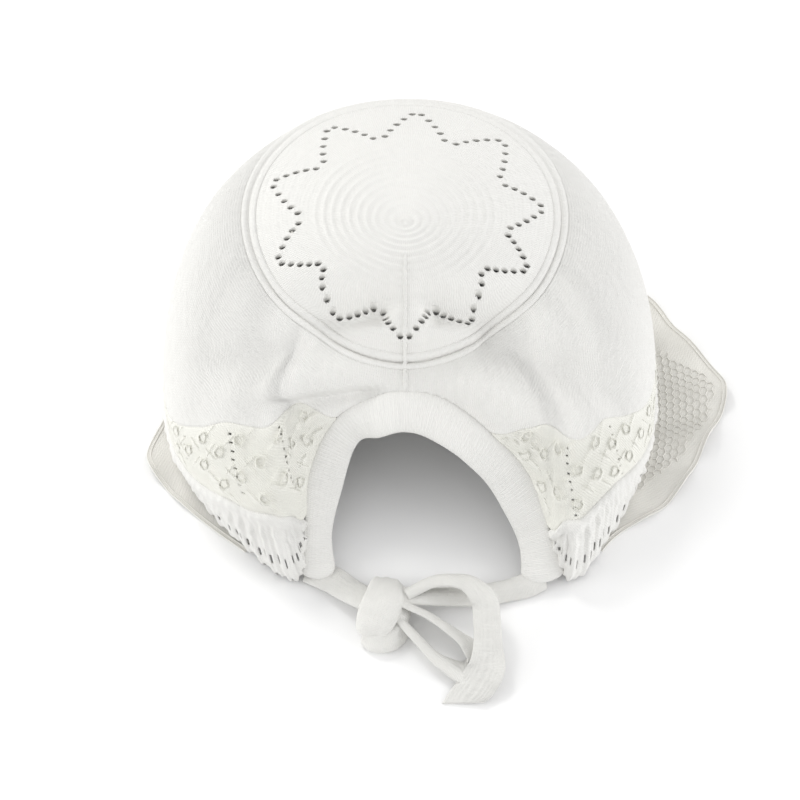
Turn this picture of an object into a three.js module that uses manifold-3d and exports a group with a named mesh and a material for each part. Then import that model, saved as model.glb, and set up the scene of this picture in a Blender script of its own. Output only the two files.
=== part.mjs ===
// Embroidered baby hat: a small knitted bonnet lying with its face opening down.
// X runs across the hat, +Y is the forehead side, -Y the nape and chin side, Z is up.
// Lengths are in millimetres and angles in degrees.
// The word turn is the angle around the hat, 0 at the nape seam, 180 at the forehead.

import * as THREE from 'three';
import Module from 'manifold-3d';

const wasm = await Module();
wasm.setup();

// Cloth sizes
const GAP = 0.3;            // clear space between neighbouring pieces
const KNIT_WALL = 1.6;      // plain knit of the disc and the sides
const BAND_WALL = 1.5;      // embroidered band
const FRILL_WALL = 1.1;     // gathered frill at the face edge
const TULLE_WALL = 1.0;     // net ruffle
const TAPE_WALL = 1.1;      // soft tape of the ties

// Back disc: rings of garter ridges, then a star of eyelets
const DISC_CENTRE = { x: -9.3, y: 28.2, z: 84 };
const RIDGE_ZONE = 0.6;     // share of the radius that is ridged
const RIDGE_COUNT = 9;
const RIDGE_HEIGHT = 0.55;
const EYELET_R = 1;
const EYELET_SIDES = 4;
const DISC_STATIONS = 34;

// Ridge ring: two raised welts between disc and sides
const RING = { x: -9.3, y: 39.5, half: 50, reach: 41 };
const RING_HALF_WIDTH = 2.6;
const RING_STATIONS = 42;

// Heights of the ring, by turn
const RING_HEIGHT = [
  { turn: 0, z: 46 },
  { turn: 45, z: 57 },
  { turn: 90, z: 68 },
  { turn: 135, z: 72 },
  { turn: 180, z: 72 },
  { turn: 225, z: 72 },
  { turn: 270, z: 68 },
  { turn: 315, z: 57 },
];

// Lower edge of the sides, by turn. shoulder is the reach of the curve beside the ring,
// belly and lift are its bulge and its rise above the lower edge.
const EDGE = [
  { at: 'nape', turn: 0, x: -9.3, y: -10.3, z: 42, shoulder: 3, belly: 1, lift: 2 },
  { at: 'neck right 1', turn: 14, x: 4, y: -12, z: 40, shoulder: 5, belly: 1, lift: 3 },
  { at: 'neck right 2', turn: 26, x: 16, y: -19.5, z: 35.5, shoulder: 9, belly: 3, lift: 6 },
  { at: 'neck right 3', turn: 38, x: 31, y: -32, z: 24, shoulder: 14, belly: 6, lift: 10 },
  { at: 'chin right', turn: 50, x: 42.6, y: -57.2, z: 3.3, shoulder: 18, belly: 8, lift: 16 },
  { at: 'cheek right', turn: 63, x: 56, y: -42, z: 2.3, shoulder: 20, belly: 9, lift: 20 },
  { at: 'ear right', turn: 78, x: 66, y: -20, z: 1.9, shoulder: 22, belly: 10, lift: 24 },
  { at: 'temple right', turn: 100, x: 69, y: 16, z: 1.9, shoulder: 20, belly: 10, lift: 30 },
  { at: 'brow right', turn: 140, x: 46, y: 63, z: 1.9, shoulder: 9, belly: 8, lift: 34 },
  { at: 'forehead', turn: 180, x: -7, y: 81, z: 1.9, shoulder: 3, belly: 8, lift: 36 },
  { at: 'brow left', turn: 220, x: -58, y: 62, z: 1.9, shoulder: 6, belly: 8, lift: 34 },
  { at: 'temple left', turn: 260, x: -84, y: 14, z: 1.9, shoulder: 20, belly: 10, lift: 30 },
  { at: 'ear left', turn: 282, x: -79.5, y: -20, z: 1.9, shoulder: 22, belly: 10, lift: 24 },
  { at: 'cheek left', turn: 297, x: -64, y: -42, z: 2.3, shoulder: 20, belly: 9, lift: 20 },
  { at: 'chin left', turn: 310, x: -42.9, y: -57.2, z: 3.3, shoulder: 18, belly: 8, lift: 16 },
  { at: 'neck left 3', turn: 322, x: -40, y: -30, z: 22, shoulder: 14, belly: 6, lift: 10 },
  { at: 'neck left 2', turn: 334, x: -32, y: -17, z: 34.5, shoulder: 9, belly: 3, lift: 6 },
  { at: 'neck left 1', turn: 346, x: -20, y: -11.8, z: 40, shoulder: 5, belly: 1, lift: 3 },
];
const HEAD_MIDDLE = { x: -6.5, y: 12, z: 18 };

// Folds: each runs from a to b, sinks by depth (raised where negative) and fades over wide
const FOLDS = [
  { at: 'hollow left', ax: -38, ay: 9, az: 62, bx: -19, by: 8, bz: 66, depth: 6, wide: 6.5 },
  { at: 'hollow right', ax: 3, ay: 8, az: 66, bx: 22, by: 10, bz: 62, depth: 7, wide: 7 },
  { at: 'crease over nape', ax: -22, ay: 9, az: 69, bx: 4, by: 9, bz: 69, depth: 1.6, wide: 3.5 },
  { at: 'valley left', ax: -40, ay: 1, az: 54, bx: -72, by: -4, bz: 45, depth: 3.5, wide: 7 },
  { at: 'valley right', ax: 22, ay: 4, az: 54, bx: 56, by: -9, bz: 44, depth: 6.5, wide: 8 },
  { at: 'crease left', ax: -50, ay: -17, az: 44, bx: -24, by: -12, bz: 43, depth: 3, wide: 4 },
  { at: 'bulge left', ax: -56, ay: -11, az: 45, bx: -30, by: -4, bz: 48, depth: -2.5, wide: 7 },
  { at: 'bulge right', ax: 10, ay: -9, az: 46, bx: 40, by: -22, bz: 40, depth: -3.5, wide: 8 },
  { at: 'cheek right', ax: 52, ay: -22, az: 38, bx: 52, by: -30, bz: 30, depth: -2, wide: 10 },
  { at: 'cheek left', ax: -66, ay: -26, az: 34, bx: -54, by: -36, bz: 28, depth: -2, wide: 9 },
];

// Star of eyelets on the disc: outer tips and the inner corners between them
const STAR_TIPS = [0, 35, 61.5, 93, 134.5, 175, 213, 252.5, 294.5, 322];
const STAR_OUT = 0.9;
const STAR_IN = 0.64;
const EYELETS_PER_SIDE = 5;

// Where the embroidered band and the frill start, as shares of the way from ring to edge
const TRIMS = [
  { turn: 27, band: 1.0, frill: 1.0 },
  { turn: 33, band: 0.76, frill: 1.0 },
  { turn: 38, band: 0.6, frill: 1.0 },
  { turn: 43, band: 0.5, frill: 1.0 },
  { turn: 47, band: 0.475, frill: 0.81 },
  { turn: 53, band: 0.475, frill: 0.75 },
  { turn: 61, band: 0.51, frill: 0.74 },
  { turn: 70, band: 0.6, frill: 0.79 },
  { turn: 80, band: 0.69, frill: 0.85 },
  { turn: 100, band: 0.74, frill: 0.88 },
  { turn: 140, band: 0.74, frill: 0.88 },
  { turn: 180, band: 0.72, frill: 0.87 },
  { turn: 220, band: 0.74, frill: 0.88 },
  { turn: 260, band: 0.77, frill: 0.89 },
  { turn: 278, band: 0.77, frill: 0.89 },
  { turn: 291, band: 0.62, frill: 0.84 },
  { turn: 301, band: 0.485, frill: 0.77 },
  { turn: 309, band: 0.43, frill: 0.73 },
  { turn: 314, band: 0.42, frill: 0.81 },
  { turn: 318, band: 0.44, frill: 1.0 },
  { turn: 325, band: 0.55, frill: 1.0 },
  { turn: 331, band: 0.74, frill: 1.0 },
  { turn: 336, band: 1.0, frill: 1.0 },
];
// Stations of the sides, by turn: across the nape, down the right cheek, round the forehead
// and up the left cheek. The band and the frill use the same stations, so their edges match.
const BAND_FROM = 28;
const BAND_TO = 334.5;
const FRILL_FROM = 43.5;
const FRILL_TO = 317.2;
const NAPE_TURNS = [334.8, 342, 348, 354, 360, 366, 372, 378, 383, 387.7];
const RIGHT_TURNS = [28, 30.5, 33, 35.5, 38, 40.5, 43.2, 43.5, 46, 48.5, 51, 54];
const ROUND_TURNS = { from: 58, to: 302, steps: 28 };
const LEFT_TURNS = [302, 306, 309, 311.5, 314, 317.2, 317.5, 320, 323, 326, 329, 332, 334.5];
const FRILL_PUFF = 1.3;

// Net ruffle under the face edge: reach outward past the edge and height of its rim
const RUFFLE = [
  { turn: 58, out: 0.5, rim: 0.4 },
  { turn: 66, out: 3, rim: 0.6 },
  { turn: 74, out: 12, rim: 2.5 },
  { turn: 86, out: 20, rim: 5 },
  { turn: 97, out: 27, rim: 4 },
  { turn: 108, out: 17, rim: 3 },
  { turn: 122, out: 10, rim: 2 },
  { turn: 180, out: 11, rim: 2 },
  { turn: 235, out: 5, rim: 2 },
  { turn: 260, out: 2.5, rim: 1.5 },
  { turn: 268, out: 4, rim: 2 },
  { turn: 276, out: 11, rim: 3 },
  { turn: 282, out: 8.5, rim: 2 },
  { turn: 292, out: 3.5, rim: 0.6 },
  { turn: 302, out: 0.5, rim: 0.4 },
];
const RUFFLE_WAVES = 24;

// Inner rim of the neck band, by turn; its outer rim follows the lower edge of the sides
const NECK = [
  { turn: -50, x: -31, y: -58, z: 3.4 },
  { turn: -44, x: -33, y: -44.3, z: 9 },
  { turn: -38, x: -27.8, y: -32.8, z: 18 },
  { turn: -26, x: -22.4, y: -24.6, z: 28 },
  { turn: -14, x: -17.5, y: -22.2, z: 34 },
  { turn: 0, x: -9.3, y: -21, z: 35.5 },
  { turn: 14, x: -0.6, y: -23.1, z: 34 },
  { turn: 26, x: 10.5, y: -29, z: 29 },
  { turn: 38, x: 21, y: -37.4, z: 18 },
  { turn: 44, x: 27.5, y: -47.9, z: 9 },
  { turn: 50, x: 28.2, y: -60.5, z: 3.4 },
];
const NECK_HALF_PUFF = 1.9;

// Back seam: a raised rib from inside the disc down to the neck band
const SEAM = { from: 0.32, wide: 1.5, tall: 1.1, steps: 16 };

// Tapes, by their middle line: height z, width and roll of the tape about its line
const TIE_LEFT = [
  { x: -36, y: -56.2, z: 2.8, wide: 9, roll: 0 },
  { x: -32, y: -58, z: 3.2, wide: 9.6, roll: 4 },
  { x: -28.5, y: -60.6, z: 3.6, wide: 9.6, roll: 8 },
  { x: -22, y: -65.4, z: 5, wide: 9, roll: 10 },
];
const TIE_RIGHT = [
  { x: -14, y: -64.6, z: 7, wide: 5.4, roll: 10 },
  { x: -2, y: -64.4, z: 6, wide: 5.8, roll: 6 },
  { x: 8, y: -63.8, z: 4.6, wide: 6, roll: 2 },
  { x: 16, y: -63, z: 3.4, wide: 5.6, roll: -4 },
  { x: 24, y: -61.4, z: 2.6, wide: 5.2, roll: -12 },
  { x: 30.5, y: -60.6, z: 3, wide: 7, roll: -20 },
];
const BOW_LOOP = [
  { x: -13, y: -66.8, z: 6.4, wide: 3.4, roll: 50 },
  { x: -3, y: -71, z: 5.4, wide: 3.6, roll: 48 },
  { x: 5, y: -76, z: 4.4, wide: 5.4, roll: 36 },
  { x: 12, y: -81.4, z: 3, wide: 7.8, roll: 22 },
  { x: 15, y: -87, z: 1.9, wide: 9, roll: 8 },
  { x: 10.5, y: -89.6, z: 1.8, wide: 9, roll: -6 },
  { x: 3, y: -86.6, z: 2.4, wide: 7.4, roll: -24 },
  { x: -4, y: -80.2, z: 3.4, wide: 4.6, roll: -40 },
  { x: -13, y: -70, z: 5, wide: 3.4, roll: -50 },
];
const BOW_TAIL = [
  { x: -9, y: -65, z: 7.6, wide: 4.6, roll: 20 },
  { x: -1.3, y: -61.6, z: 9.6, wide: 5.4, roll: 26 },
  { x: 5.1, y: -61.3, z: 11.2, wide: 6.4, roll: 28 },
  { x: 11.5, y: -63.5, z: 12.5, wide: 8, roll: 20 },
  { x: 16, y: -69, z: 12.2, wide: 8.8, roll: 6 },
  { x: 17, y: -76.1, z: 10.6, wide: 8.8, roll: 0 },
  { x: 17.2, y: -83.6, z: 8, wide: 9.4, roll: 2 },
  { x: 16.6, y: -90, z: 5.4, wide: 12, roll: 2 },
  { x: 13.2, y: -95.6, z: 2.8, wide: 12.8, roll: 0 },
  { x: 9.3, y: -100.4, z: 0.62, wide: 12, roll: 0 },
];
const KNOT = { x: -17.3, y: -69.4, z: 5.8, long: 23, wide: 12, tall: 11, lean: 60 };

// Small vector helpers on plain arrays
const add = (a, b, k = 1) => [a[0] + b[0] * k, a[1] + b[1] * k, a[2] + b[2] * k];
const sub = (a, b) => [a[0] - b[0], a[1] - b[1], a[2] - b[2]];
const dot = (a, b) => a[0] * b[0] + a[1] * b[1] + a[2] * b[2];
const mul = (a, k) => [a[0] * k, a[1] * k, a[2] * k];
const size = (a) => Math.hypot(a[0], a[1], a[2]);
const unit = (a) => mul(a, 1 / (size(a) || 1));
const cross = (a, b) => [
  a[1] * b[2] - a[2] * b[1],
  a[2] * b[0] - a[0] * b[2],
  a[0] * b[1] - a[1] * b[0],
];
const rad = (deg) => (deg * Math.PI) / 180;

// Smooth reading of a table between its rows; around = true joins the last row to the first
function reader(rows, columns, around) {
  const keys = rows.map((row) => row.turn);
  const values = rows.map((row) => columns.map((name) => row[name]));
  if (around) {
    keys.unshift(keys[keys.length - 1] - 360);
    values.unshift(values[values.length - 1]);
    keys.push(keys[1] + 360, keys[2] + 360);
    values.push(values[1], values[2]);
    keys.unshift(keys[keys.length - 4] - 360);
    values.unshift(values[values.length - 4]);
  }
  const last = keys.length - 1;
  const slope = (i, c) => {
    const lo = Math.max(i - 1, 0);
    const hi = Math.min(i + 1, last);
    if (lo === i || hi === i) return (values[hi][c] - values[lo][c]) / (keys[hi] - keys[lo]);
    const h0 = keys[i] - keys[lo];
    const h1 = keys[hi] - keys[i];
    const d0 = (values[i][c] - values[lo][c]) / h0;
    const d1 = (values[hi][c] - values[i][c]) / h1;
    return (d0 * h1 + d1 * h0) / (h0 + h1);
  };
  return (turn) => {
    let at = turn;
    if (around) at = ((((turn - rows[0].turn) % 360) + 360) % 360) + rows[0].turn;
    at = Math.min(Math.max(at, keys[0]), keys[last]);
    let i = 0;
    while (i < last - 1 && keys[i + 1] <= at) i += 1;
    const h = keys[i + 1] - keys[i];
    const t = (at - keys[i]) / h;
    return columns.map((name, c) => {
      const a = (2 * t ** 3 - 3 * t ** 2 + 1) * values[i][c];
      const b = (t ** 3 - 2 * t ** 2 + t) * h * slope(i, c);
      const d = (-2 * t ** 3 + 3 * t ** 2) * values[i + 1][c];
      const e = (t ** 3 - t ** 2) * h * slope(i + 1, c);
      return a + b + d + e;
    });
  };
}
const ringHeight = reader(RING_HEIGHT, ['z'], true);
const edgeAt = reader(EDGE, ['x', 'y', 'z', 'shoulder', 'belly', 'lift'], true);
const trimAt = reader(TRIMS, ['band', 'frill'], false);
const ruffleAt = reader(RUFFLE, ['out', 'rim'], false);
const neckAt = reader(NECK, ['x', 'y', 'z'], false);

function ringPoint(turn) {
  const a = rad(turn);
  const x = RING.x + RING.half * Math.sin(a);
  const y = RING.y - RING.reach * Math.cos(a);
  return [x, y, ringHeight(turn)[0]];
}

// One side curve from ring to lower edge, with its length, kept per turn
const curves = new Map();
function sideCurve(turn) {
  const key = Math.round((((turn % 360) + 360) % 360) * 1000);
  if (curves.has(key)) return curves.get(key);
  const a = rad(turn);
  const start = ringPoint(turn);
  const [x, y, z, shoulder, belly, lift] = edgeAt(turn);
  const far = Math.hypot(x - HEAD_MIDDLE.x, y - HEAD_MIDDLE.y);
  const out = [(x - HEAD_MIDDLE.x) / far, (y - HEAD_MIDDLE.y) / far];
  const near = [start[0] + Math.sin(a) * shoulder, start[1] - Math.cos(a) * shoulder, start[2]];
  const low = [x + out[0] * belly, y + out[1] * belly, z + lift];
  const points = [];
  const lengths = [0];
  for (let i = 0; i <= 40; i += 1) {
    const t = i / 40;
    const w = [(1 - t) ** 3, 3 * (1 - t) ** 2 * t, 3 * (1 - t) * t ** 2, t ** 3];
    let p = mul(start, w[0]);
    p = add(p, near, w[1]);
    p = add(p, low, w[2]);
    p = add(p, [x, y, z], w[3]);
    points.push(p);
    if (i > 0) lengths.push(lengths[i - 1] + size(sub(p, points[i - 1])));
  }
  const curve = { points, lengths, length: lengths[40] };
  curves.set(key, curve);
  return curve;
}

// Sinks and swellings of the soft cloth
const MIDDLE = [HEAD_MIDDLE.x, HEAD_MIDDLE.y, HEAD_MIDDLE.z];
function folded(p) {
  let sink = 0;
  for (const fold of FOLDS) {
    const a = [fold.ax, fold.ay, fold.az];
    const ab = sub([fold.bx, fold.by, fold.bz], a);
    const k = Math.min(Math.max(dot(sub(p, a), ab) / dot(ab, ab), 0), 1);
    const far = size(sub(p, add(a, ab, k)));
    sink += fold.depth * Math.exp(-((far / fold.wide) ** 2));
  }
  return add(p, unit(sub(p, MIDDLE)), -sink);
}

// Point of the hat cloth: share 0 to 1 is the disc from centre to ring, 1 to 2 the sides
function hatPoint(turn, share) {
  if (share <= 1) {
    const rim = ringPoint(turn);
    const x = DISC_CENTRE.x + (rim[0] - DISC_CENTRE.x) * share;
    const y = DISC_CENTRE.y + (rim[1] - DISC_CENTRE.y) * share;
    const z = rim[2] + (DISC_CENTRE.z - rim[2]) * (1 - share * share);
    return folded([x, y, z]);
  }
  const curve = sideCurve(turn);
  const want = (share - 1) * curve.length;
  let i = 0;
  while (i < 39 && curve.lengths[i + 1] < want) i += 1;
  const k = (want - curve.lengths[i]) / (curve.lengths[i + 1] - curve.lengths[i]);
  return folded(add(mul(curve.points[i], 1 - k), curve.points[i + 1], k));
}
const hatNormal = (turn, share) => {
  const low = Math.max(share - 0.01, 0.02);
  const high = Math.min(low + 0.02, 2);
  const across = sub(hatPoint(turn, high), hatPoint(turn, low));
  const along = sub(hatPoint(turn + 0.4, share), hatPoint(turn - 0.4, share));
  return unit(cross(across, along));
};
const sideLength = (turn) => sideCurve(turn).length;

// A sheet is a grid of points; rows may close on themselves and may start at one point
function gridSheet(stations, rows, around, pointAt, normalAt) {
  const points = [];
  const normals = [];
  const faces = [];
  const wrap = around ? stations : stations + 1;
  for (let i = 0; i < wrap; i += 1) {
    for (let j = 0; j <= rows; j += 1) {
      points.push(pointAt(i / stations, j / rows, i, j));
      if (normalAt) normals.push(normalAt(i / stations, j / rows, i, j));
    }
  }
  const id = (i, j) => (i % wrap) * (rows + 1) + j;
  for (let i = 0; i < stations; i += 1) {
    for (let j = 0; j < rows; j += 1) {
      const quad = [id(i, j), id(i, j + 1), id(i + 1, j + 1), id(i + 1, j)];
      faces.push([quad[0], quad[1], quad[2]], [quad[0], quad[2], quad[3]]);
    }
  }
  return { points, normals, faces };
}

function sheetNormals(points, faces) {
  const sums = points.map(() => [0, 0, 0]);
  for (const [a, b, c] of faces) {
    const n = cross(sub(points[b], points[a]), sub(points[c], points[a]));
    for (const v of [a, b, c]) sums[v] = add(sums[v], n);
  }
  return sums.map(unit);
}

// Gives a sheet its thickness: the sheet is the outer face, wall may be a function of the index.
// A grown copy is larger by grow on both faces and serves to cut clear space in a neighbour.
function thicken(sheet, wall, base, grow = 0) {
  const { points, faces } = sheet;
  const ground = base || points;
  const normals = sheet.normals.length ? sheet.normals : sheetNormals(ground, faces);
  const depth = (i) => (typeof wall === 'function' ? wall(i) : wall);
  const inner = ground.map((p, i) => add(p, normals[i], -depth(i) - grow));
  const count = points.length;
  const all = points.map((p, i) => add(p, normals[i], grow)).concat(inner);
  const tris = [];
  const edges = new Map();
  for (const [a, b, c] of faces) {
    tris.push([a, b, c], [a + count, c + count, b + count]);
    for (const [p, q] of [[a, b], [b, c], [c, a]]) edges.set(p * 100000 + q, [p, q]);
  }
  for (const [p, q] of edges.values()) {
    if (edges.has(q * 100000 + p)) continue;
    tris.push([q, p, p + count], [q, p + count, q + count]);
  }
  return { points: all, tris };
}

function toSolid({ points, tris }) {
  const mesh = new wasm.Mesh({
    numProp: 3,
    vertProperties: new Float32Array(points.flat()),
    triVerts: new Uint32Array(tris.flat()),
  });
  mesh.merge();
  return new wasm.Manifold(mesh);
}

function solidGeometry(solid) {
  const mesh = solid.getMesh();
  const geometry = new THREE.BufferGeometry();
  const places = new THREE.BufferAttribute(new Float32Array(mesh.vertProperties), 3);
  geometry.setAttribute('position', places);
  geometry.setIndex(new THREE.BufferAttribute(new Uint32Array(mesh.triVerts), 1));
  geometry.computeVertexNormals();
  return geometry;
}

function plainGeometry({ points, tris }) {
  const geometry = new THREE.BufferGeometry();
  geometry.setAttribute('position', new THREE.Float32BufferAttribute(points.flat(), 3));
  geometry.setIndex(tris.flat());
  geometry.computeVertexNormals();
  return geometry;
}

// All stations from the start of the band, round the forehead, to its end
function bandTurns() {
  const { from, to, steps } = ROUND_TURNS;
  const round = [];
  for (let i = 0; i < steps; i += 1) round.push(from + ((to - from) * i) / steps);
  return RIGHT_TURNS.concat(round, LEFT_TURNS);
}

// Back disc: a ridged outer face over a plain inner face, joined at the rim
function discFace(shares, lift, drop) {
  const base = [hatPoint(0, 0)];
  const lifts = [0];
  for (let i = 0; i < DISC_STATIONS; i += 1) {
    const turn = (360 * i) / DISC_STATIONS;
    shares.forEach((share, j) => {
      base.push(hatPoint(turn, share));
      lifts.push(lift(j));
    });
  }
  const rows = shares.length;
  const id = (i, j) => 1 + (i % DISC_STATIONS) * rows + j;
  const faces = [];
  const rim = [];
  for (let i = 0; i < DISC_STATIONS; i += 1) {
    faces.push([0, id(i, 0), id(i + 1, 0)]);
    rim.push(id(i, rows - 1));
    for (let j = 0; j < rows - 1; j += 1) {
      const quad = [id(i, j), id(i, j + 1), id(i + 1, j + 1), id(i + 1, j)];
      faces.push([quad[0], quad[1], quad[2]], [quad[0], quad[2], quad[3]]);
    }
  }
  const normals = sheetNormals(base, faces);
  return { points: base.map((p, i) => add(p, normals[i], lifts[i] - drop)), faces, rim };
}

function backDisc() {
  const ridgeRows = RIDGE_COUNT * 2;
  const rimShare = 1 - (RING_HALF_WIDTH + GAP) / RING.half;
  const plain = (k) => RIDGE_ZONE + (rimShare - RIDGE_ZONE) * k;
  const shares = [];
  for (let i = 1; i <= ridgeRows; i += 1) shares.push((RIDGE_ZONE * i) / ridgeRows);
  for (const k of [0.33, 0.67, 1]) shares.push(plain(k));
  const ridge = (j) => (j < ridgeRows && j % 2 === 0 ? RIDGE_HEIGHT : 0);
  const outer = discFace(shares, ridge, 0);
  const inner = discFace([0.2, 0.4, 0.6, plain(0.3), plain(0.65), rimShare], () => 0, KNIT_WALL);
  const count = outer.points.length;
  const tris = outer.faces.concat(inner.faces.map(([a, b, c]) => [a + count, c + count, b + count]));
  outer.rim.forEach((p, i) => {
    const next = (i + 1) % DISC_STATIONS;
    const low = [inner.rim[i] + count, inner.rim[next] + count];
    tris.push([p, low[0], low[1]], [p, low[1], outer.rim[next]]);
  });
  const disc = toSolid({ points: outer.points.concat(inner.points), tris });
  const holes = [];
  STAR_TIPS.forEach((tip, i) => {
    const next = i + 1 < STAR_TIPS.length ? STAR_TIPS[i + 1] : 360;
    const corner = (tip + next) / 2;
    holes.push(...eyeletRow(tip, STAR_OUT, corner, STAR_IN));
    holes.push(...eyeletRow(next, STAR_OUT, corner, STAR_IN));
  });
  return disc.subtract(wasm.Manifold.union(holes.map(eyeletCutter)));
}

// Eyelet places along one side of a star point
function eyeletRow(fromTurn, fromShare, toTurn, toShare) {
  const places = [];
  for (let i = 0; i < EYELETS_PER_SIDE; i += 1) {
    const k = (i + 0.5) / EYELETS_PER_SIDE;
    const turn = fromTurn + (toTurn - fromTurn) * k;
    places.push({ turn, share: fromShare + (toShare - fromShare) * k });
  }
  return places;
}

function eyeletCutter({ turn, share }) {
  const centre = hatPoint(turn, share);
  const normal = hatNormal(turn, share);
  const shape = new THREE.CylinderGeometry(EYELET_R, EYELET_R, 9, EYELET_SIDES);
  const up = new THREE.Vector3(...normal);
  shape.applyQuaternion(new THREE.Quaternion().setFromUnitVectors(new THREE.Vector3(0, 1, 0), up));
  shape.translate(...add(centre, normal, -KNIT_WALL / 2));
  const places = shape.getAttribute('position');
  const points = [];
  for (let i = 0; i < places.count; i += 1) {
    points.push([places.getX(i), places.getY(i), places.getZ(i)]);
  }
  const order = Array.from(shape.index.array);
  const tris = [];
  for (let i = 0; i < order.length; i += 3) tris.push(order.slice(i, i + 3));
  return toSolid({ points, tris });
}

// Ridge ring: a strip with two round welts, swept round the disc
function ridgeRing() {
  const section = [0, 1.15, 0.35, 1.15, 0];
  const columns = section.length - 1;
  const sheet = gridSheet(RING_STATIONS, columns, true, (u, v, i, j) => {
    const turn = 360 * u;
    const d = (2 * v - 1) * RING_HALF_WIDTH;
    const share = d < 0 ? 1 + d / RING.half : 1 + d / sideLength(turn);
    return add(hatPoint(turn, share), hatNormal(turn, share), section[j]);
  });
  return thicken(sheet, (i) => KNIT_WALL + section[i % (columns + 1)] * 0.8);
}

// Point of a trim line (column 0 band, 1 frill), moved square to the line by off millimetres
function trimPoint(turn, column, off) {
  const share = (at) => 1 + Math.min(trimAt(at)[column], 1);
  const here = share(turn);
  const step = 0.6;
  const along = sub(hatPoint(turn + step, share(turn + step)), hatPoint(turn, here));
  const back = sub(hatPoint(turn, here), hatPoint(turn - step, share(turn - step)));
  const way = unit(add(along, back));
  const square = unit(cross(way, hatNormal(turn, here)));
  const low = Math.max(here - 0.02, 1.001);
  const perTurn = sub(hatPoint(turn + 0.5, here), hatPoint(turn - 0.5, here));
  const perShare = mul(sub(hatPoint(turn, here), hatPoint(turn, low)), 1 / (here - low));
  const want = mul(square, off);
  const aa = dot(perTurn, perTurn);
  const ab = dot(perTurn, perShare);
  const bb = dot(perShare, perShare);
  const det = aa * bb - ab * ab;
  const turnStep = (dot(want, perTurn) * bb - dot(want, perShare) * ab) / det;
  const shareStep = (dot(want, perShare) * aa - dot(want, perTurn) * ab) / det;
  return [turn + turnStep, Math.min(here + shareStep, 2)];
}

// Sheet on the sides of the hat: placeAt gives turn, share and lift of each grid point.
// Every piece takes its normals from the hat itself, so neighbouring edges stay parallel.
function hatSheet(stations, rows, around, placeAt, wall) {
  const normalOf = ([turn, share]) => hatNormal(turn, Math.min(share, 1.98));
  const pointAt = (...grid) => {
    const at = placeAt(...grid);
    return add(hatPoint(at[0], at[1]), normalOf(at), at[2] || 0);
  };
  const normalAt = (...grid) => normalOf(placeAt(...grid));
  return toSolid(thicken(gridSheet(stations, rows, around, pointAt, normalAt), wall));
}
const between = (a, b, v) => [a[0] + (b[0] - a[0]) * v, a[1] + (b[1] - a[1]) * v];

// Sides of the hat, from the ridge ring down to the neck band or the embroidered band
function knitSides() {
  const turns = bandTurns().concat(NAPE_TURNS);
  return hatSheet(turns.length, 6, true, (u, v, i) => {
    const turn = turns[i];
    const start = 1 + (RING_HALF_WIDTH + GAP) / sideLength(turn);
    const end = turn <= BAND_TO ? trimPoint(turn, 0, -GAP / 2) : [turn, 2];
    return between([turn, start], end, v);
  }, KNIT_WALL);
}

function embroideredBand() {
  const turns = bandTurns();
  return hatSheet(turns.length - 1, 2, false, (u, v, i) => {
    const turn = turns[i];
    const framed = turn >= FRILL_FROM && turn <= FRILL_TO;
    const low = framed ? trimPoint(turn, 1, -GAP / 2) : [turn, 2];
    return between(trimPoint(turn, 0, GAP / 2), low, v);
  }, BAND_WALL);
}

// Frill: a strip whose gathers puff out between the stations of the band
function frontFrill() {
  const turns = bandTurns().filter((turn) => turn >= FRILL_FROM && turn <= FRILL_TO);
  return hatSheet((turns.length - 1) * 2, 2, false, (u, v, i) => {
    const k = Math.floor(i / 2);
    const top = trimPoint(turns[k], 1, 1.5 * GAP);
    if (i % 2 === 0) return between(top, [turns[k], 2], v).concat(v === 0 ? 0 : 0.35);
    const next = trimPoint(turns[k + 1], 1, 1.5 * GAP);
    const middle = between(top, next, 0.5);
    const low = [(turns[k] + turns[k + 1]) / 2, 2];
    return between(middle, low, v).concat(v === 0 ? 0 : FRILL_PUFF);
  }, FRILL_WALL);
}

// Net ruffle: lies under the face edge and spreads outward in waves
function tulleRuffle(grow) {
  const from = 60;
  const to = 300;
  const stations = RUFFLE_WAVES * 2;
  const sheet = gridSheet(stations, 3, false, (u, v, i, j) => {
    const turn = from + (to - from) * u;
    const [x, y] = edgeAt(turn);
    const [ahead] = [edgeAt(turn + 0.5)];
    const behind = edgeAt(turn - 0.5);
    const out = unit([ahead[1] - behind[1], behind[0] - ahead[0], 0]);
    const [reach, rim] = ruffleAt(turn);
    const along = [-5 - grow, 0, reach * 0.55, reach + grow][j];
    const wave = (i % 2 === 0 ? 1 : 0.15) * Math.min(1, reach / 9);
    const z = [TULLE_WALL, TULLE_WALL, TULLE_WALL + rim * 0.5 * wave, TULLE_WALL + rim * wave][j];
    return [x + out[0] * along, y + out[1] * along, z];
  }, () => [0, 0, 1]);
  return toSolid(thicken(sheet, TULLE_WALL, null, grow));
}

// Neck band: a soft rolled rib band from chin to chin
function neckBand(grow) {
  const stations = 26;
  const profile = [0.35, 0.9, 0.9, 0.35];
  const rows = profile.length - 1;
  const sheet = gridSheet(stations, rows, false, (u, v, i, j) => {
    const turn = (-50 - grow * 0.8) * (1 - 2 * u);
    const edge = hatPoint(turn, 2);
    const rim = neckAt(turn);
    const wide = size(sub(rim, edge));
    const k = (GAP - grow + (wide - GAP + 2 * grow) * v) / wide;
    const p = add(edge, sub(rim, edge), k);
    return add(p, neckNormal(turn), NECK_HALF_PUFF * profile[j]);
  }, (u) => neckNormal(-50 + 100 * u));
  const wall = (i) => 2 * NECK_HALF_PUFF * profile[i % (rows + 1)];
  return toSolid(thicken(sheet, wall, null, grow));
}
function neckNormal(turn) {
  const low = Math.max(turn - 1.5, -50);
  const high = Math.min(turn + 1.5, 50);
  const along = sub(neckAt(high), neckAt(low));
  const across = sub(neckAt(turn), hatPoint(turn, 2));
  return unit(cross(across, along));
}

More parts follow.
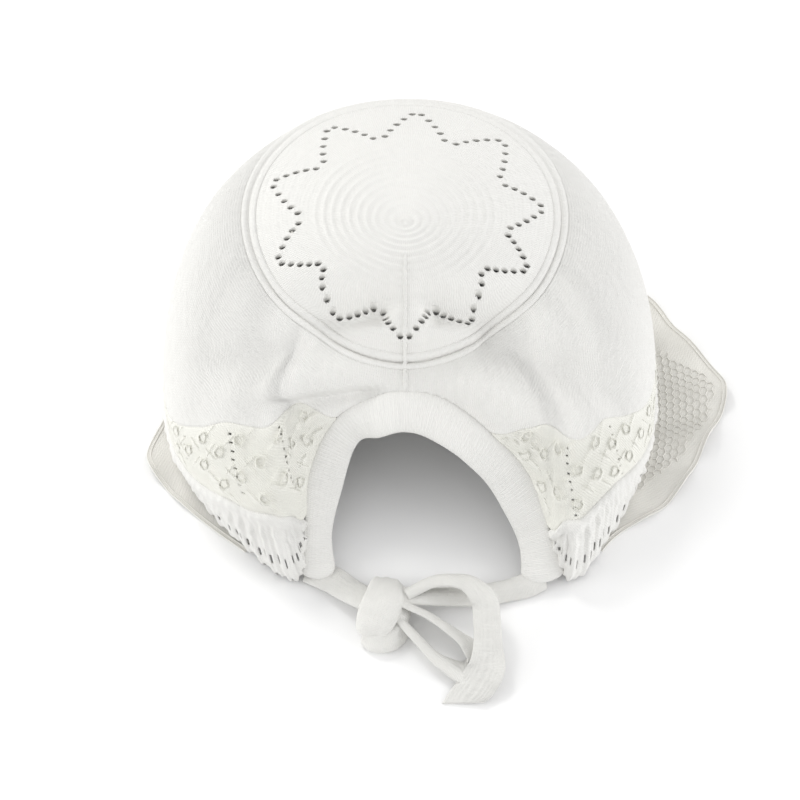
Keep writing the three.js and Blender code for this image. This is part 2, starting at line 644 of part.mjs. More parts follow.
// Back seam
function backSeam() {
  const sheet = gridSheet(SEAM.steps, 2, false, (u, v) => {
    const share = SEAM.from + (1.93 - SEAM.from) * u;
    const off = Math.abs(share - 1) < 0.12 ? 1.7 : 0.45;
    const ridge = share < RIDGE_ZONE ? RIDGE_HEIGHT : 0;
    const p = hatPoint(0, share);
    const side = [(2 * v - 1) * (SEAM.wide / 2), 0, 0];
    const crown = v === 0.5 ? SEAM.tall : SEAM.tall * 0.6;
    return add(add(p, side), hatNormal(0, share), off + ridge + crown);
  });
  return thicken(sheet, SEAM.tall * 0.6);
}

// Tape swept along its rows, with a smooth middle line
function tape(rows, grow) {
  const steps = rows.length * 2;
  const line = new THREE.CatmullRomCurve3(rows.map((r) => new THREE.Vector3(r.x, r.y, r.z)));
  const keyed = rows.map((r, i) => ({ turn: i, wide: r.wide, roll: r.roll }));
  const shape = reader(keyed, ['wide', 'roll'], false);
  const sheet = gridSheet(steps, 2, false, (u, v) => {
    const p = line.getPoint(u).toArray();
    const way = unit(line.getTangent(u).toArray());
    const [wide, roll] = shape(u * (rows.length - 1));
    const flat = unit(cross(way, [0, 0, 1]));
    const up = cross(flat, way);
    const side = add(mul(flat, Math.cos(rad(roll))), up, Math.sin(rad(roll)));
    return add(p, side, (2 * v - 1) * (0.5 * wide + grow));
  });
  const half = TAPE_WALL / 2;
  const normals = sheetNormals(sheet.points, sheet.faces);
  const points = sheet.points.map((p, i) => add(p, normals[i], half));
  return toSolid(thicken({ points, normals, faces: sheet.faces }, TAPE_WALL, null, grow));
}

// Bow knot: a plump wrap with a waist groove
function knotSolid(grow) {
  const shape = new THREE.SphereGeometry(1, 18, 10);
  const places = shape.getAttribute('position');
  const lean = rad(KNOT.lean);
  const points = [];
  for (let i = 0; i < places.count; i += 1) {
    const a = places.getX(i);
    const b = places.getY(i);
    const c = places.getZ(i);
    const groove = 1 - 0.16 * Math.exp(-(((a - b * 0.5) / 0.22) ** 2));
    const x = a * (KNOT.long / 2 + grow);
    const y = b * (KNOT.wide / 2 + grow) * groove;
    const z = c * (KNOT.tall / 2 + grow) * groove;
    points.push([
      KNOT.x + x * Math.cos(lean) - y * Math.sin(lean),
      KNOT.y + x * Math.sin(lean) + y * Math.cos(lean),
      Math.max(KNOT.z + z, 0),
    ]);
  }
  const order = Array.from(shape.index.array);
  const tris = [];
  for (let i = 0; i < order.length; i += 3) tris.push(order.slice(i, i + 3));
  return toSolid({ points, tris });
}

// Assembly
const hat = new THREE.Group();
hat.name = 'embroidered_baby_hat';
function place(name, geometry, color, roughness) {
  const material = new THREE.MeshStandardMaterial({ color, roughness, metalness: 0 });
  material.name = name;
  const mesh = new THREE.Mesh(geometry, material);
  mesh.name = name;
  hat.add(mesh);
}

const largest = (solid) => solid.decompose().sort((a, b) => b.volume() - a.volume())[0];
const neckClear = neckBand(GAP);
const knotClear = knotSolid(GAP);
const besideNeck = (solid) => solidGeometry(largest(solid.subtract(neckClear)));

place('back_disc', solidGeometry(backDisc()), 0xefeee8, 0.95);
place('ridge_ring', plainGeometry(ridgeRing()), 0xf2f1ec, 0.95);
place('knit_sides', besideNeck(knitSides()), 0xf0efe9, 0.95);
place('back_seam', plainGeometry(backSeam()), 0xf3f2ed, 0.95);
place('neck_band', solidGeometry(neckBand(0)), 0xeeeee8, 0.95);
place('embroidered_band', besideNeck(embroideredBand()), 0xece9d8, 0.9);
place('front_frill', besideNeck(frontFrill()), 0xf1f1ee, 0.9);
place('tulle_ruffle', solidGeometry(tulleRuffle(0)), 0xdcd6c8, 0.9);
const tapes = [
  ['bow_tail', BOW_TAIL],
  ['tie_right', TIE_RIGHT],
  ['bow_loop', BOW_LOOP],
  ['tie_left', TIE_LEFT],
];
const cleared = [knotClear, neckClear];
for (const [name, rows] of tapes) {
  const strip = cleared.reduce((left, cutter) => left.subtract(cutter), tape(rows, 0));
  place(name, solidGeometry(largest(strip)), 0xe9e7df, 0.9);
  cleared.push(tape(rows, GAP));
}
place('bow_knot', solidGeometry(knotSolid(0)), 0xebe9e1, 0.9);

// The origin is the middle of the footprint, on the surface
const bounds = new THREE.Box3().setFromObject(hat);
const middle = bounds.getCenter(new THREE.Vector3());
hat.position.set(-middle.x, -middle.y, -bounds.min.z);

export default hat;
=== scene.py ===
"""Looks of an embroidered baby hat, a small knitted bonnet lying with its face opening down."""

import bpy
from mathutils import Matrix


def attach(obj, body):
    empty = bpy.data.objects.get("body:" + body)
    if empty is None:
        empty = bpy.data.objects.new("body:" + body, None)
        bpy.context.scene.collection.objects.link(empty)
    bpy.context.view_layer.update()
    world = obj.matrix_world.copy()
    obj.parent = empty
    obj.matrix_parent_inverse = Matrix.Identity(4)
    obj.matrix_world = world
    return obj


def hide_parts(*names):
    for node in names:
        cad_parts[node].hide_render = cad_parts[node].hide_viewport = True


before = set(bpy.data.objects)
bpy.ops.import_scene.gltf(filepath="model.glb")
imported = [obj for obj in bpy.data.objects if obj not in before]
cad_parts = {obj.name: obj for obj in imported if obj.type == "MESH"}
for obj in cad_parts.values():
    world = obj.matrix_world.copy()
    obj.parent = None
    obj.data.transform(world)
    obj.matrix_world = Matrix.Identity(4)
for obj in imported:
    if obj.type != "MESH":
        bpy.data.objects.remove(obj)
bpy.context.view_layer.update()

import math

import bpy
import numpy as np
from mathutils import Matrix, Vector

bl_info = {
    "name": "Embroidered baby hat",
    "version": (1, 0, 0),
    "blender": (4, 5, 0),
    "location": "View3D > Sidebar > Baby hat",
    "description": "Knits, gathers and ties a small embroidered bonnet over its packed solids",
    "category": "Object",
}

# Tables are in millimetres before this shift, and angles in degrees. Turn is the angle round
# the hat, 0 at the nape seam and 180 at the forehead. Share is the way down its cloth: 0 at the
# middle of the disc, 1 at the ring and 2 at the lower edge.
SHIFT = np.array([-1.338, 6.166, 0.0])
MM = 0.001
FLOOR_GAP = 0.06  # least height of the tapes

# The middle of the disc, and the ring round it with half the width of its welts
DISC = (-9.3, 28.2, 84.0)
RING = {"x": -9.3, "y": 39.5, "half": 50.0, "reach": 41.0, "half_width": 2.6}
TUCK = 0.7  # how far the disc and the sides reach under the ring
RIDGE_ZONE = 0.6  # share of the disc with garter ridges
RIDGE_COUNT = 11
HEAD_MIDDLE = np.array([-6.5, 12.0, 18.0])

# Thickness of each cloth
KNIT_WALL, RING_WALL, FRILL_WALL, NET_WALL = 1.3, 1.5, 0.7, 0.4

# turn, height of the ring
RING_HEIGHT = [
    (0, 46), (45, 57), (90, 68), (135, 72), (180, 72), (225, 72), (270, 68), (315, 57),
]

# turn, x, y, z of the lower edge, reach of the curve beside the ring, belly, lift
EDGE = [
    (0, -9.3, -10.3, 42, 3, 1, 2),
    (14, 4, -12, 40, 5, 1, 3),
    (26, 16, -19.5, 35.5, 9, 3, 6),
    (38, 31, -32, 24, 14, 6, 10),
    (50, 42.6, -57.2, 3.3, 18, 8, 16),
    (63, 56, -42, 2.3, 20, 9, 20),
    (78, 66, -20, 1.9, 22, 10, 24),
    (100, 69, 16, 1.9, 20, 10, 30),
    (140, 46, 63, 1.9, 9, 8, 34),
    (180, -7, 81, 1.9, 3, 8, 36),
    (220, -58, 62, 1.9, 6, 8, 34),
    (260, -84, 14, 1.9, 20, 10, 30),
    (282, -79.5, -20, 1.9, 22, 10, 24),
    (297, -64, -42, 2.3, 20, 9, 20),
    (310, -42.9, -57.2, 3.3, 18, 8, 16),
    (322, -40, -30, 22, 14, 6, 10),
    (334, -32, -17, 34.5, 9, 3, 6),
    (346, -20, -11.8, 40, 5, 1, 3),
]

# Folds: start, end, depth (raised where negative), width below the line and width above it
FOLDS = [
    (-38, 9, 62, -19, 8, 66, 7, 6.5, 6.5),
    (3, 8, 66, 22, 10, 62, 7.6, 7, 7),
    (-22, 9, 69, 4, 9, 69, 1.6, 3.5, 3.5),
    (-36, 2, 58, -70, -4, 45, 3.6, 8, 6),
    (22, 4, 54, 56, -9, 44, 5.2, 9, 8),
    (-50, -17, 44, -24, -12, 43, 2.4, 3.5, 2.5),
    (-60, -12, 44, -24, -6, 50, -1.8, 7, 6),
    (10, -9, 46, 40, -22, 40, -3.5, 8, 8),
    (52, -22, 38, 52, -30, 30, -2, 10, 10),
    (-66, -26, 34, -54, -36, 28, -2, 9, 9),
    # overhangs of the slack middle of the disc
    (-35, 9, 66, -21, 11.5, 70, 3.2, 6.5, 2.4),
    (3, 11.5, 70, 17, 9, 67, 3.4, 6.5, 2.4),
    (-20, 10.5, 71, 2, 10.5, 71, 1.2, 4, 1.4),
    # sharp creases under the ring and beside the neck band
    (-33, 1, 60, -54, -3, 51, 1.4, 7, 3),
    (20, 1, 59, 44, -6, 49, 1.9, 9, 3.4),
    (-48, -15.5, 45, -20, -11, 44.5, 2.5, 3.0, 1.2),
    (18, -14, 44, 33, -25, 36, 1.2, 3, 1.6),
    (-9, -5, 52, -8.5, 0, 58, -0.8, 4, 4),
    # slack that fills the turn from the nape to the side
    (-46, -1, 52, -50, -14, 44, -2.4, 5.5, 5.5),
]

# Share of the way from ring to edge where band and frill start, by turn
TRIMS = [
    (27, 1.0, 1.0), (33, 0.76, 1.0), (38, 0.6, 1.0), (43, 0.5, 1.0), (47, 0.475, 0.81),
    (53, 0.475, 0.75), (61, 0.51, 0.74), (70, 0.6, 0.79), (80, 0.69, 0.85),
    (100, 0.74, 0.88), (140, 0.74, 0.88), (180, 0.72, 0.87), (220, 0.74, 0.88),
    (260, 0.77, 0.89), (278, 0.77, 0.89), (291, 0.62, 0.84), (301, 0.485, 0.77),
    (309, 0.43, 0.73), (314, 0.42, 0.81), (318, 0.44, 1.0), (325, 0.55, 1.0),
    (331, 0.74, 1.0), (336, 1.0, 1.0),
]

# turn, reach of the net past the face edge, height of its rim
RUFFLE = [
    (58, 0.5, 0.4), (66, 3, 0.6), (74, 12, 2.5), (86, 20, 5), (97, 27, 4), (108, 17, 3),
    (122, 10, 2), (180, 11, 2), (235, 5, 2), (260, 2.5, 1.5), (268, 4, 2), (276, 11, 3),
    (282, 8.5, 2), (292, 3.5, 0.6), (302, 0.5, 0.4),
]

# turn, inner rim of the neck band
NECK = [
    (-50, -31, -58, 3.4), (-44, -33, -44.3, 9), (-38, -29.4, -31.6, 18),
    (-26, -24.4, -21.6, 29.2), (-14, -17.5, -22.2, 34), (0, -9.3, -21, 35.5),
    (14, -0.6, -23.1, 34), (26, 10.5, -29, 29), (38, 21, -37.4, 18),
    (44, 27.5, -47.9, 9), (50, 28.2, -60.5, 3.4),
]

STAR_TIPS = [0, 35, 61.5, 93, 134.5, 175, 213, 252.5, 294.5, 322]
STAR_OUT = 0.9
STAR_IN = 0.64
# Where the eyelets stand on a side of the star, from its tip, and half their size
EYELETS = 0.1 + 0.73 * np.arange(5) / 4
EYELET = (1.2, 0.62)

# Turns at which a slanting column of small holes crosses the band
BAND_HOLES = [47, 62, 100, 140, 180, 220, 260, 285, 300, 313.5]

# Frill: pitch of its slits, its scallops and its gathers, and depth of its casing
SLIT, SCALLOP, GATHER, CASING = 2.7, 5.4, 6.2, 4.6

# Net: how far it reaches in under the hat, and the pitch of its waves
NET_ROOT, NET_WAVE = 4.4, 15.0

# Tapes by their middle line: x, y, z, width, roll about the line
TIE_LEFT = [
    (-40.5, -53.6, 2.2, 8.6, -4), (-36, -55.8, 2.8, 9.4, 0), (-32, -58, 3.2, 9.8, 4),
    (-28.5, -60.6, 3.6, 9.6, 8), (-22, -65.4, 5, 9, 10), (-18, -68.4, 5.2, 8, 10),
]
TIE_RIGHT = [
    (-14, -64.6, 7, 7.0, 14), (-2, -64.6, 6, 7.4, 14), (8, -64.2, 4.8, 7.6, 8),
    (16, -63.2, 3.6, 7.4, -6), (24, -61.6, 3.0, 7.2, -26), (31, -59.6, 3.2, 8, -30),
    (35.5, -57.4, 2.4, 6, -16),
]
BOW_LOOP = [
    (-13, -66.8, 6.4, 5.6, 60), (-3, -71, 5.4, 7.0, 62), (5, -76, 4.6, 7.8, 56),
    (12, -81.4, 3.6, 8.8, 36), (15, -87, 1.9, 9.4, 10), (10.5, -89.6, 1.8, 9, -8),
    (3, -86.6, 2.8, 8, -38), (-4, -80.2, 3.6, 7, -54), (-13, -70, 5, 5.6, -58),
]
BOW_TAIL = [
    (-9, -65, 7.6, 4.6, 20), (-1.3, -61.6, 9.6, 5.4, 26), (5.1, -61.3, 11.2, 6.4, 28),
    (11.5, -63.5, 12.5, 8, 20), (16, -69, 12.2, 8.8, 6), (17, -76.1, 10.6, 8.8, 0),
    (17.2, -83.6, 8, 9.4, 2), (16.6, -90, 5.4, 12, 2), (13.2, -95.6, 2.6, 12.6, 0),
    (9.3, -100.6, 1.25, 11, 0),
]
TAPE_WIDTH = 10.0

# Wraps of the knot, each an arch of cloth: x, y, z, width, thickness
KNOT_WRAP = [
    (-14.1, -58.0, 1.5, 8, 3.4), (-14.7, -61.3, 5.0, 11.5, 5.4), (-16, -67.1, 7.4, 13.0, 6.6),
    (-17.9, -72.1, 7.2, 13.2, 6.8), (-19.5, -75.6, 5.4, 11.5, 6.0), (-20.2, -77.0, 3.0, 9.5, 4.6),
    (-20, -77.6, 1.6, 7.0, 3.0),
]
KNOT_UNDER = [
    (-22.4, -76.3, 2.2, 6.5, 4.0), (-19.2, -78.7, 2.6, 8.0, 5.0), (-14.7, -78.8, 2.8, 8.4, 5.2),
    (-11.2, -76.0, 3.0, 7.4, 5.0), (-9.9, -72.4, 3.6, 5.6, 4.0),
]
KNOT_CORE = [
    (-19, -66, 3, 7, 5), (-15.5, -70, 3.4, 9, 6), (-11.5, -71.5, 3.8, 7, 6),
    (-9.5, -67.5, 4.4, 5, 5),
]


def smooth_rows(rows, around=False):
    """Smooth reading of a table whose first column is the key."""
    rows = np.array(rows, float)
    if around:
        step = np.zeros(rows.shape[1])
        step[0] = 360
        rows = np.vstack([rows[-2:] - step, rows, rows[:2] + step])
    keys, values = rows[:, 0], rows[:, 1:]
    gap = np.diff(keys)[:, None]
    rate = np.diff(values, axis=0) / gap
    slope = np.zeros_like(values)
    slope[1:-1] = (rate[:-1] * gap[1:] + rate[1:] * gap[:-1]) / (gap[:-1] + gap[1:])
    slope[0], slope[-1] = rate[0], rate[-1]

    def read(at):
        at = np.asarray(at, float)
        if around:
            at = (at - keys[2]) % 360 + keys[2]
        at = np.clip(at, keys[0], keys[-1])
        i = np.clip(np.searchsorted(keys, at, side="right") - 1, 0, len(keys) - 2)
        h = (keys[i + 1] - keys[i])[..., None]
        t = (at - keys[i])[..., None] / h
        return (
            (2 * t**3 - 3 * t**2 + 1) * values[i]
            + (t**3 - 2 * t**2 + t) * h * slope[i]
            + (3 * t**2 - 2 * t**3) * values[i + 1]
            + (t**3 - t**2) * h * slope[i + 1]
        )

    return read


ring_height = smooth_rows(RING_HEIGHT, True)
edge_at = smooth_rows(EDGE, True)
trim_at = smooth_rows(TRIMS)
ruffle_at = smooth_rows(RUFFLE)
neck_at = smooth_rows(NECK)


def unit(v):
    return v / np.maximum(np.linalg.norm(v, axis=-1, keepdims=True), 1e-12)


def bell(x, middle, width):
    """A soft hump, 1 high."""
    return np.exp(-(((x - middle) / width) ** 2))


def ramp(x, low=0, high=1):
    """Holds values between two ends."""
    return np.clip(x, low, high)


def signed_power(x, power):
    return np.sign(x) * np.abs(x) ** power


def rounded(count, across_power=1.0, up_power=1.0):
    """Places across and up, from -1 to 1, of points round a circle or a rounded square."""
    angle = np.arange(count) * 2 * np.pi / count
    return signed_power(np.cos(angle), across_power), signed_power(np.sin(angle), up_power)


def rings_along(middle, across, wide, up, tall):
    """Rings of points round a line; wide and tall are their places along the two ways."""
    return middle[:, None] + across[:, None] * wide[..., None] + up[:, None] * tall[..., None]


def ring_at(turn):
    a = np.radians(turn)
    x = RING["x"] + RING["half"] * np.sin(a)
    y = RING["y"] - RING["reach"] * np.cos(a)
    return np.stack([x, y, ring_height(turn)[..., 0]], -1)


def side_curves(turns):
    """Curves from ring to lower edge, one a turn, with the length to each of their points."""
    a = np.radians(turns)
    start = ring_at(turns)
    x, y, z, shoulder, belly, lift = np.moveaxis(edge_at(turns), -1, 0)
    edge = np.stack([x, y, z], -1)
    out = unit(np.stack([x - HEAD_MIDDLE[0], y - HEAD_MIDDLE[1], 0 * x], -1))
    level = np.stack([np.sin(a), -np.cos(a), 0 * a], -1)
    near = start + level * shoulder[:, None]
    low = edge + out * belly[:, None] + np.stack([0 * x, 0 * x, lift], -1)
    t = np.linspace(0, 1, 61)[None, :, None]
    line = (
        start[:, None] * (1 - t) ** 3
        + near[:, None] * 3 * (1 - t) ** 2 * t
        + low[:, None] * 3 * (1 - t) * t**2
        + edge[:, None] * t**3
    )
    lengths = np.cumsum(np.linalg.norm(np.diff(line, axis=1), axis=2), axis=1)
    return line, np.hstack([np.zeros((len(turns), 1)), lengths])


def folded(p):
    """Sinks and swellings of the soft cloth. A fold is as wide as its table says on either
    side of its line, and fades out past its ends."""
    uphill = np.array([0.0, 0.75, 0.66])
    sink = np.zeros(p.shape[:-1])
    for ax, ay, az, bx, by, bz, depth, below, above in FOLDS:
        a = np.array([ax, ay, az])
        ab = np.array([bx, by, bz]) - a
        long = np.linalg.norm(ab)
        t = (p - a) @ (ab / long)
        past = np.maximum(np.maximum(-t, t - long), 0)
        off = p - a - t[..., None] * (ab / long)
        gap = np.linalg.norm(off, axis=-1)
        upper = 0.5 + 0.5 * (off @ uphill) / np.maximum(gap, 1e-6)
        wide = below + (above - below) * upper**0.7
        sink += depth * np.exp(-((gap / wide) ** 2) - (past / max(below, 4)) ** 2)
    return p - unit(p - HEAD_MIDDLE) * sink[..., None]


def hat_grid(turns, shares):
    """Grid of points of the hat cloth."""
    turns = np.asarray(turns, float)
    shares = np.broadcast_to(shares, (len(turns), np.shape(shares)[-1]))
    rim = ring_at(turns)[:, None]
    s = shares[..., None]
    centre = np.array(DISC)
    flat = centre + (rim - centre) * s
    flat[..., 2] = rim[..., 2] + (DISC[2] - rim[..., 2]) * (1 - s[..., 0] ** 2)
    line, lengths = side_curves(turns)
    want = (shares - 1) * lengths[:, -1:]
    side = np.empty_like(flat)
    for i in range(len(turns)):
        for c in range(3):
            side[i, :, c] = np.interp(want[i], lengths[i], line[i, :, c])
        past = want[i] - lengths[i, -1]
        way = unit(line[i, -1] - line[i, -3])
        side[i] += way * np.maximum(past, 0)[:, None]
    return folded(np.where(s <= 1, flat, side))


def hat_at(turn, share):
    return hat_grid(np.atleast_1d(turn), np.atleast_1d(share)[:, None])[:, 0]


def hat_frames(turn, share):
    """Places on the cloth with the outward way and the way along the turn."""
    turn, share = np.atleast_1d(turn).astype(float), np.atleast_1d(share).astype(float)
    along = hat_at(turn + 0.4, share) - hat_at(turn - 0.4, share)
    across = hat_at(turn, share + 0.008) - hat_at(turn, share - 0.008)
    return hat_at(turn, share), unit(np.cross(across, along)), unit(along)


def grid_normals(p, around=False):
    if around:
        along = np.roll(p, -1, 0) - np.roll(p, 1, 0)
    else:
        along = np.gradient(p, axis=0)
    return unit(np.cross(np.gradient(p, axis=1), along))


def steps_along(p):
    """Length to each point of a line of points."""
    return np.concatenate([[0], np.cumsum(np.linalg.norm(np.diff(p, axis=0), axis=1))])


def soft_noise(u, v, seed):
    """Gentle unevenness from a few crossed waves, the same on every run."""
    count, turn = 7, 6.28
    rng = np.random.default_rng(seed)
    total = np.zeros(np.broadcast(u, v).shape)
    for _ in range(count):
        angle, pitch, start = rng.uniform(0, turn), rng.uniform(0.6, 2.2), rng.uniform(0, turn)
        total = total + np.sin((u * math.cos(angle) + v * math.sin(angle)) * pitch + start)
    return total / count


# Meshes

def in_scene(name, data):
    made = bpy.data.objects.new(name, data)
    bpy.context.scene.collection.objects.link(made)
    return made


def new_piece(name, points, faces, uvs, material):
    mesh = bpy.data.meshes.new(name)
    mesh.from_pydata(((points + SHIFT) * MM).tolist(), [], faces)
    layer = mesh.uv_layers.new(name="Stitches")
    layer.data.foreach_set("uv", np.asarray(uvs, np.float32).ravel())
    mesh.shade_smooth()
    mesh.materials.append(material)
    mesh.update()
    return in_scene(name, mesh)


def grid_faces(n, m, around):
    count = n if around else n - 1
    i, j = np.meshgrid(np.arange(count), np.arange(m - 1), indexing="ij")
    k = (i + 1) % n
    corners = np.stack([i * m + j, i * m + j + 1, k * m + j + 1, k * m + j], -1)
    uv = np.stack([i * m + j, i * m + j + 1, (i + 1) * m + j + 1, (i + 1) * m + j], -1)
    return corners.reshape(-1, 4), uv.reshape(-1, 4), j.reshape(-1)


def shell(name, outer, wall, uv, material, around=False, pole=None, counts=None, gaps=None):
    """Closed cloth of some thickness; outer is its grid of outward points, uv its stitch grid.
    Around closes the grid on itself, pole closes its first row at one point, counts gives each
    row its number of stitches, and gaps marks the squares of the grid that are left open."""
    edge_rounding = 0.3
    n, m = outer.shape[:2]
    normals = grid_normals(outer, around)
    if pole is not None:
        normals[:, 0] = unit(normals[:, 0].mean(0))
    inner = outer - normals * wall
    outer = outer.copy()
    borders = [(slice(None), m - 1)] + ([] if pole is not None else [(slice(None), 0)])
    borders += [] if around else [(0, slice(None)), (n - 1, slice(None))]
    for where in borders:
        shift = normals[where] * wall * edge_rounding
        outer[where] -= shift
        inner[where] += shift
    points = np.vstack([outer.reshape(-1, 3), inner.reshape(-1, 3)])
    top, uv_top, row = grid_faces(n, m, around)
    if gaps is not None:
        kept = ~gaps.reshape(-1)
        top, uv_top, row = top[kept], uv_top[kept], row[kept]
    size = n * m
    u, v = (np.asarray(a, float) for a in uv)
    if u.ndim == 1:
        u = np.repeat(u[:, None], m, 1)
    v = np.broadcast_to(v, u.shape)
    flat_u, flat_v = u.reshape(-1), v.reshape(-1)
    scale = np.ones(m - 1) if counts is None else np.asarray(counts, float)
    corner = np.stack([flat_u[uv_top] * scale[row][:, None], flat_v[uv_top]], -1)
    uvs = [corner.reshape(-1, 2), corner[:, ::-1].reshape(-1, 2)]
    edges = np.concatenate([np.stack([top[:, c], top[:, (c + 1) % 4]], -1) for c in range(4)])
    ways = edges[:, 0] * size + edges[:, 1]
    edges = edges[~np.isin(edges[:, 1] * size + edges[:, 0], ways)]
    if pole is not None:
        edges = edges[(edges % m != 0).any(1)]
    a, b = edges.T
    rims = np.stack([b, a, a + size, b + size], -1)
    uvs.append(np.stack([flat_u[rims % size], flat_v[rims % size]], -1).reshape(-1, 2))
    face_list = np.vstack([top, top[:, ::-1] + size, rims]).tolist()
    if pole is not None:
        points = np.vstack([points, [pole, np.array(pole) - normals[0, 0] * wall]])
        tip = 2 * size
        for i in range(n):
            k = (i + 1) % n
            face_list.append([tip, i * m, k * m])
            face_list.append([tip + 1, size + k * m, size + i * m])
        uvs.append(np.zeros((6 * n, 2)))
    return new_piece(name, points, face_list, np.vstack(uvs), material)


def tube_arrays(rings, uv_u, uv_v):
    """Closed skin over a row of rings, with both ends capped: points, faces and uvs."""
    n, k = rings.shape[:2]
    i, j = np.meshgrid(np.arange(n - 1), np.arange(k), indexing="ij")
    q = (j + 1) % k
    quads = np.stack([i * k + j, (i + 1) * k + j, (i + 1) * k + q, i * k + q], -1).reshape(-1, 4)
    u = np.stack([uv_u[i], uv_u[i + 1], uv_u[i + 1], uv_u[i]], -1)
    v = np.stack([uv_v[j], uv_v[j], uv_v[j + 1], uv_v[j + 1]], -1)
    uvs = [np.stack([u, v], -1).reshape(-1, 2)]
    points = np.vstack([rings.reshape(-1, 3), rings[0].mean(0), rings[-1].mean(0)])
    a, b = np.arange(k), (np.arange(k) + 1) % k
    start = np.stack([np.full(k, n * k), a, b], -1)
    last = (n - 1) * k
    end = np.stack([np.full(k, n * k + 1), last + b, last + a], -1)
    uvs.append(np.zeros((6 * k, 2)))
    return points, quads.tolist() + start.tolist() + end.tolist(), np.vstack(uvs)


def tube(name, rings, uv_u, uv_v, material):
    points, faces, uvs = tube_arrays(rings, uv_u, uv_v)
    return new_piece(name, points, faces, uvs, material)


def settle(piece, slot, *nodes):
    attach(piece, "root")
    if nodes:
        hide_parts(*nodes)


# Node trees

FLOAT, VECTOR, COLOR = "NodeSocketFloat", "NodeSocketVector", "NodeSocketColor"
GEOMETRY = "NodeSocketGeometry"


def add_node(tree, kind, links=None, **settings):
    """A node with its settings; links gives each input a value or another node's socket."""
    node = tree.nodes.new(kind)
    for key, value in settings.items():
        setattr(node, key, value)
    for key, value in (links or {}).items():
        socket = node.inputs[key]
        if isinstance(value, bpy.types.NodeSocket):
            tree.links.new(value, socket)
        else:
            socket.default_value = value
    return node


def maths(tree, operation, a, b=None, c=None):
    values = {i: x for i, x in enumerate((a, b, c)) if x is not None}
    return add_node(tree, "ShaderNodeMath", values, operation=operation).outputs[0]


def blend(tree, factor, first, second):
    """Mixes two colours, each a socket or a plain colour."""
    mix = add_node(tree, "ShaderNodeMix", {0: factor, 6: first, 7: second}, data_type="RGBA")
    return mix.outputs[2]


def new_group(name, kind, inputs, outputs):
    """An empty node group with named sockets, and its two end nodes."""
    tree = bpy.data.node_groups.new(name, kind)
    for label, socket, value in inputs:
        made = tree.interface.new_socket(name=label, in_out="INPUT", socket_type=socket)
        if value is not None:
            made.default_value = value
    for label, socket in outputs:
        tree.interface.new_socket(name=label, in_out="OUTPUT", socket_type=socket)
    return tree, tree.nodes.new("NodeGroupInput").outputs, tree.nodes.new("NodeGroupOutput").inputs


def give_relief(tree, give, height):
    tree.links.new(height, give["Height"])
    # painted shade between the stitches: the lower the stitch relief, the darker the colour
    tree.links.new(maths(tree, "SUBTRACT", 1.0, height), give["Crevice"])


def knit_group():
    """Columns of knitted loops: two slanting legs to each wale."""
    tree, take, give = new_group(
        "Knitted loops",
        "ShaderNodeTree",
        [("Stitches", VECTOR, None), ("Slack", FLOAT, 0.15), ("Slant", FLOAT, 0.5)],
        [("Height", FLOAT), ("Crevice", FLOAT)],
    )
    noise = {"Vector": take["Stitches"], "Scale": 0.31, "Detail": 2.0}
    drift = add_node(tree, "ShaderNodeTexNoise", noise).outputs["Fac"]
    drift = maths(tree, "MULTIPLY", maths(tree, "SUBTRACT", drift, 0.5), take["Slack"])
    drift = maths(tree, "MULTIPLY", drift, 6.0)
    parts = add_node(tree, "ShaderNodeSeparateXYZ", {0: take["Stitches"]}).outputs
    column = maths(tree, "FRACT", maths(tree, "ADD", parts["X"], drift))
    side = maths(tree, "ABSOLUTE", maths(tree, "SUBTRACT", column, 0.5))
    side = maths(tree, "MULTIPLY", side, 2.0)
    leg = maths(tree, "SINE", maths(tree, "MULTIPLY", side, math.pi))
    row = maths(tree, "MULTIPLY_ADD", side, take["Slant"], maths(tree, "ADD", parts["Y"], drift))
    bead = maths(tree, "COSINE", maths(tree, "MULTIPLY", row, 2 * math.pi))
    bead = maths(tree, "MULTIPLY_ADD", bead, 0.22, 0.78)
    give_relief(tree, give, maths(tree, "MULTIPLY", leg, bead))
    return tree


def weave_group():
    """Plain weave: warp and weft threads going over and under."""
    tree, take, give = new_group(
        "Plain weave",
        "ShaderNodeTree",
        [("Threads", VECTOR, None)],
        [("Height", FLOAT), ("Crevice", FLOAT)],
    )
    parts = add_node(tree, "ShaderNodeSeparateXYZ", {0: take["Threads"]}).outputs
    heights = []
    for a, b, start in ((parts["X"], parts["Y"], 0.0), (parts["Y"], parts["X"], 1.0)):
        thread = maths(tree, "ABSOLUTE", maths(tree, "SINE", maths(tree, "MULTIPLY", a, math.pi)))
        phase = maths(tree, "ADD", maths(tree, "ADD", maths(tree, "FLOOR", a), b), start)
        over = maths(tree, "COSINE", maths(tree, "MULTIPLY", phase, math.pi))
        over = maths(tree, "MULTIPLY_ADD", over, 0.3, 0.6)
        heights.append(maths(tree, "MULTIPLY", thread, over))
    give_relief(tree, give, maths(tree, "MAXIMUM", *heights))
    return tree


